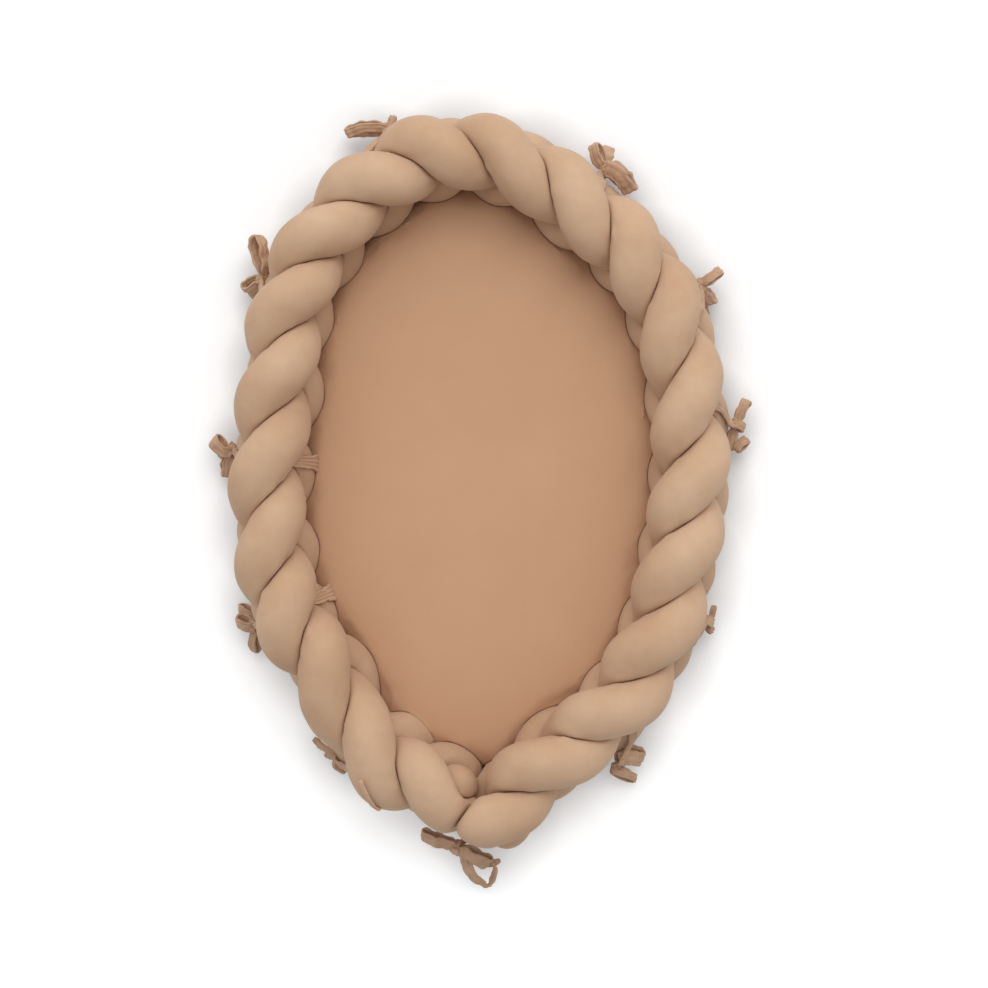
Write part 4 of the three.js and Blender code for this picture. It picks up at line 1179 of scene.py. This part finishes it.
def settled(piece, floor, gap, trees):
    """One finer skin, no lower than the floor given, and clear of the tubes."""
    finer = piece.modifiers.new("finer", "SUBSURF")
    finer.levels = 1
    finer.render_levels = 1
    bpy.context.view_layer.update()
    mesh = bpy.data.meshes.new_from_object(evaluated(piece))
    piece.modifiers.clear()
    piece.data = mesh
    points = mesh_points(mesh)
    points[:, 2] = np.maximum(points[:, 2], floor)
    set_points(mesh, points)
    moved = keep_clear(mesh, gap, trees, 0.03)
    mesh.shade_smooth()
    return moved


def laid_flat(mesh):
    """A UV map in metres, as if the cloth had been cut lying flat."""
    corner = np.empty(len(mesh.loops), np.int32)
    mesh.loops.foreach_get("vertex_index", corner)
    cut = mesh.uv_layers.get("cloth") or mesh.uv_layers.new(name="cloth")
    cut.data.foreach_set("uv", mesh_points(mesh)[corner, :2].astype(np.float32).ravel())


pressed = settled(pad_cover, COVER_FLOOR, COVER_GAP, strand_trees + strip_trees)
laid_flat(pad_cover.data)
pad_cover.data.materials.clear()
pad_cover.data.materials.append(pad_cotton)
print("cover points pressed by the tubes:", pressed)

# %% [markdown]
# ## Inside the mattress
#
# Foam and wadding are never seen, but the cover would be an empty shell without them, and the exploded
# view needs them. They are plain pads with their own pale finishes.

# %% Foam and wadding
foam_finish, foam_shader = new_finish("pale_foam", (0.79, 0.72, 0.55), 0.95)
wadding_finish, wadding_shader = new_finish("white_wadding", (0.88, 0.86, 0.81), 1.0)
for finish, shader, scale in ((foam_finish, foam_shader, 700), (wadding_finish, wadding_shader, 300)):
    tree = finish.node_tree
    place = add_node(tree, "TexCoord")
    cells = add_node(tree, "TexVoronoi", Scale=scale, Vector=place.outputs["Object"])
    pores = add_node(tree, "Bump", Strength=0.4, Distance=0.0006, Height=cells.outputs["Distance"])
    set_inputs(shader, Normal=pores.outputs["Normal"])

core_profile = [(-0.012, 0.0020), (-0.0095, 0.006), (-0.0095, 0.023), (-0.0135, 0.0275)]
core = pad_mesh("foam_core", core_profile, 0.003, crown_steps[::2])
core_piece = add_piece("foam_core", core, foam_finish, ["mattress_core"])
wadding_profile = [(-0.014, 0.0285), (-0.011, 0.0295), (-0.0125, 0.0325)]
wadding = pad_mesh("wadding_layer", wadding_profile, 0.006, crown_steps[::2])
wadding_piece = add_piece("wadding_layer", wadding, wadding_finish, ["mattress_wadding"])
print("foam and wadding:", [len(mesh.polygons) for mesh in (core, wadding)], "faces")

# %% [markdown]
# ## The underside and its zip
#
# A flat panel closes the mattress from below. A long zip in it lets the foam be taken out for washing,
# and it sits in a slot with a folded hem, high enough that nothing scratches the floor.

# %% Underside panel
ZIP_PLACE = -0.150
ZIP_HALF = 0.130
SLOT_HALF = 0.008
HEM_WIDTH = 0.008
HEM_TOP = 0.0055
FLANGE_WIDTH = 0.013
PANEL_THICKNESS = 0.0012


def slot_ring(grow, height):
    """The nearest point of the zip's slot, grown by a margin, for each point of the outline."""
    ring = mattress_outline.copy()
    ring[:, 0] = np.clip(ring[:, 0], -ZIP_HALF - grow, ZIP_HALF + grow)
    ring[:, 1] = np.clip(ring[:, 1], ZIP_PLACE - SLOT_HALF - grow, ZIP_PLACE + SLOT_HALF + grow)
    ring[:, 2] = height
    return ring


def between_rings(first, last, count):
    return [first * (1 - share) + last * share for share in np.linspace(0, 1, count)]


under_rim = outline_ring(FLANGE_WIDTH, 0)
over_rim = outline_ring(FLANGE_WIDTH, PANEL_THICKNESS)
panel_rings = between_rings(under_rim, slot_ring(0, 0), 24)
panel_rings += [slot_ring(0, HEM_TOP * 0.5), slot_ring(0.0006, HEM_TOP), slot_ring(HEM_WIDTH, HEM_TOP)]
panel_rings += between_rings(slot_ring(HEM_WIDTH + 0.0003, PANEL_THICKNESS), over_rim, 12)
panel = cloth_mesh("under_panel", np.array(panel_rings), ring=True)
add_piece("under_panel", panel, pad_cotton, ["mattress_cover_bottom"])
print("underside panel:", len(panel.polygons), "faces")

# %% [markdown]
# The zip needs room inside. Its tapes lie on the hem, and its slider runs above them, so the cover and
# the foam are hollowed over the slot. The hollow has soft sides, and the foam's is the wider one.

# %% Room over the zip
ZIP_ROOM = 0.0010
COVER_MARGIN = 0.004
FOAM_MARGIN = 0.018
HOLLOW_SLOPE = 0.010


def hollowed(mesh, margin, top):
    """Raises the underside over the zip, fully within a margin round the hem and less beyond it."""
    points = mesh_points(mesh)
    beyond_x = np.abs(points[:, 0]) - ZIP_HALF - HEM_WIDTH
    beyond_y = np.abs(points[:, 1] - ZIP_PLACE) - SLOT_HALF - HEM_WIDTH
    beyond = np.maximum(beyond_x, beyond_y) - margin
    points[:, 2] = np.maximum(points[:, 2], top * eased(HOLLOW_SLOPE, 0, beyond))
    set_points(mesh, points)


room_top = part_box("zip_slider")[1].z + ZIP_ROOM
hollowed(pad_cover.data, COVER_MARGIN, room_top)
hollowed(core_piece.data, FOAM_MARGIN, room_top + ZIP_ROOM)
print("room over the zip up to", round(room_top * 1000, 1), "mm")

# %% Zip coils
COIL_PITCH = 0.0021
COIL_WIRE = 0.00038
STEPS_PER_TURN = 12
coil_finish, _ = new_finish("zip_nylon", (0.36, 0.21, 0.12), 0.45)


def coil_mesh(name, side):
    """A wound nylon coil, one turn for each tooth."""
    low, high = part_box(name)
    middle = (low + high) / 2
    turns = int((high.x - low.x) / COIL_PITCH)
    share = np.linspace(0, 1, turns * STEPS_PER_TURN)
    angle = 2 * np.pi * turns * share
    x = low.x + COIL_WIRE + (high.x - low.x - 2 * COIL_WIRE) * share
    y = middle.y + ((high.y - low.y) / 2 - COIL_WIRE) * np.cos(angle)
    z = middle.z + ((high.z - low.z) / 2 - COIL_WIRE) * np.sin(angle) * side
    route = np.stack([x, y, z], 1)
    along = unit(np.gradient(route, axis=0))
    across = unit(np.cross(along, [1, 0, 0]))
    third = np.cross(along, across)
    turn = np.linspace(0, 2 * np.pi, 6, endpoint=False)
    ring = across[:, None] * np.cos(turn)[:, None] + third[:, None] * np.sin(turn)[:, None]
    return cloth_mesh(name + "_wound", route[:, None] + ring * COIL_WIRE, route[0], route[-1])


for name, side in (("zip_coil_left", -1), ("zip_coil_right", 1)):
    add_piece(f"{name}_wound", coil_mesh(name, side), coil_finish, [name])
print("coils wound with a pitch of", COIL_PITCH * 1000, "mm")

# %% Finishes of the zip's own solids
zip_cloth, zip_shader = new_finish("zip_tape", (0.43, 0.25, 0.14), 0.9)
tree = zip_cloth.node_tree
place = add_node(tree, "TexCoord")
ribs = add_node(tree, "TexWave", Scale=400, Vector=place.outputs["Object"])
rib_relief = add_node(tree, "Bump", Distance=0.0002, Height=ribs.outputs["Fac"])
set_inputs(zip_shader, Normal=rib_relief.outputs["Normal"])

brass, brass_shader = new_finish("brushed_brass", (0.55, 0.42, 0.24), 0.35)
tree = brass.node_tree
place = add_node(tree, "TexCoord")
grain = add_node(tree, "TexNoise", Scale=900, Vector=place.outputs["Object"])
wear = add_node(tree, "MapRange", To_Min=0.28, To_Max=0.45, Value=grain.outputs["Fac"])
set_inputs(brass_shader, Metallic=1, Roughness=wear.outputs["Result"])

for name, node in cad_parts.items():
    if name.startswith("zip_tape"):
        node.data.materials.clear()
        node.data.materials.append(zip_cloth)
    elif name in ("zip_slider", "zip_pull") or "stop" in name:
        node.data.materials.clear()
        node.data.materials.append(brass)
print("zip finished")

# %% [markdown]
# ## Floor and light
#
# The lounger stands on a white ground with only a soft shadow round it, and light from high above that
# leans to the head. One wide lamp gives that, and a sky that is brighter towards the head fills the
# creases. To the camera the floor shines a little by itself, less near the head, where the lamp already
# lights it, and more far away, where the lamp's light fades. So it comes out white, but it still takes
# the shadow, and it sends no extra light onto the cotton. Close to the plait an occlusion node paints
# shade into the floor's colour, darker than the lamp alone makes it: a soft grey line all round the
# lounger.

# %% Floor
ground = bmesh.new()
bmesh.ops.create_grid(ground, x_segments=1, y_segments=1, size=6)
floor_mesh = bpy.data.meshes.new("floor")
ground.to_mesh(floor_mesh)
ground.free()
floor = bpy.data.objects.new("floor", floor_mesh)
scene.collection.objects.link(floor)
floor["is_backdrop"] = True


def by_ray(tree, lit, seen, kinds):
    """One shader for the light that bounces, and another for the kinds of ray named."""
    ray = add_node(tree, "LightPath")
    share = ray.outputs[kinds[0]]
    for kind in kinds[1:]:
        share = add_math(tree, "MAXIMUM", share, ray.outputs[kind])
    choice = add_node(tree, "MixShader", Fac=share)
    feed(choice.inputs[1], lit)
    feed(choice.inputs[2], seen)
    return choice.outputs["Shader"]


FLOOR_SHARE = 0.95
FLOOR_GLOW = 0.15
HEAD_GLOW = -0.30
FAR_GLOW = 0.45
FAR_FROM = 0.7
FAR_TO = 2.5
PAINTED_SHADE_REACH = 0.055
floor_finish = bpy.data.materials.new("white_floor")
floor_finish.use_nodes = True
tree = floor_finish.node_tree
tree.nodes.clear()
place = add_node(tree, "TexCoord").outputs["Object"]
axes = add_node(tree, "SeparateXYZ", Vector=place)
near_glow = add_math(tree, "MULTIPLY_ADD", axes.outputs["Y"], HEAD_GLOW, FLOOR_GLOW)
near_glow.node.use_clamp = True
away = add_node(tree, "VectorMath")
away.operation = "LENGTH"
feed(away.inputs[0], place)
far_glow = add_node(tree, "MapRange", From_Min=FAR_FROM, From_Max=FAR_TO, To_Max=FAR_GLOW,
                    Value=away.outputs["Value"])
whole_glow = add_math(tree, "ADD", near_glow, far_glow.outputs["Result"])
# Painted shade: an occlusion node darkens the floor's colour within a few centimetres of the plait.
painted_floor_shade = add_node(tree, "AmbientOcclusion", Color=(FLOOR_SHARE, FLOOR_SHARE, FLOOR_SHARE, 1),
                Distance=PAINTED_SHADE_REACH)
matte = add_node(tree, "BsdfDiffuse", Color=painted_floor_shade.outputs["Color"])
glow = add_node(tree, "Emission", Strength=whole_glow)
both = add_node(tree, "AddShader")
feed(both.inputs[0], matte.outputs["BSDF"])
feed(both.inputs[1], glow.outputs["Emission"])
plain = add_node(tree, "BsdfDiffuse", Color=(0.75, 0.76, 0.78, 1))
surface = by_ray(tree, plain.outputs["BSDF"], both.outputs["Shader"], ("Is Camera Ray", "Is Glossy Ray"))
add_node(tree, "OutputMaterial", Surface=surface)
floor_mesh.materials.append(floor_finish)
print("floor glows by", FLOOR_GLOW, "near and", FAR_GLOW, "more far away")

# %% Lamp and sky
SKY = 0.80
HEAD_LIGHT = 0.5
LAMP_SHARE = 0.34
LAMP_SIZE = 2.2
LAMP_PLACE = Vector((0.35, 1.40, 2.8))
lamp_light = bpy.data.lights.new("high_lamp", "AREA")
lamp_light.shape = "DISK"
lamp_light.size = LAMP_SIZE
lamp_light.energy = LAMP_SHARE * (math.pi * LAMP_PLACE.length) ** 2
lamp = bpy.data.objects.new("high_lamp", lamp_light)
scene.collection.objects.link(lamp)
lamp.location = LAMP_PLACE
lamp.rotation_mode = "QUATERNION"
lamp.rotation_quaternion = (-LAMP_PLACE).to_track_quat("-Z", "Y")

sky = bpy.data.worlds.new("sky")
scene.world = sky
sky.use_nodes = True
tree = sky.node_tree
tree.nodes.clear()
direction = add_node(tree, "TexCoord")
towards = add_node(tree, "SeparateXYZ", Vector=direction.outputs["Generated"])
brightness = add_math(tree, "MULTIPLY_ADD", towards.outputs["Y"], SKY * HEAD_LIGHT, SKY)
fill = add_node(tree, "Background", Color=(0.97, 0.985, 1, 1), Strength=brightness)
white = add_node(tree, "Background", Color=(1, 1, 1, 1))
seen_rays = ("Is Camera Ray", "Is Glossy Ray", "Is Transmission Ray")
surface = by_ray(tree, fill.outputs["Background"], white.outputs["Background"], seen_rays)
add_node(tree, "OutputWorld", Surface=surface)
print("lamp", round(lamp_light.energy), "W")

# %% [markdown]
# ## Last checks
#
# Both boxes are kept, and how far the dressed lounger stands proud of the model is printed.
# The dressed lounger may be only a little larger than the model, so both boxes are kept.

# %% Sizes
dressed_box = [list(corner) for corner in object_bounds()]
print("dressed, in metres:", [round(high - low, 3) for low, high in zip(*dressed_box)])
for axis, (low, high) in enumerate(zip(*model_box)):
    proud = (low - dressed_box[0][axis], dressed_box[1][axis] - high)
    print("proud by, in mm:", [round(1000 * value, 1) for value in proud])
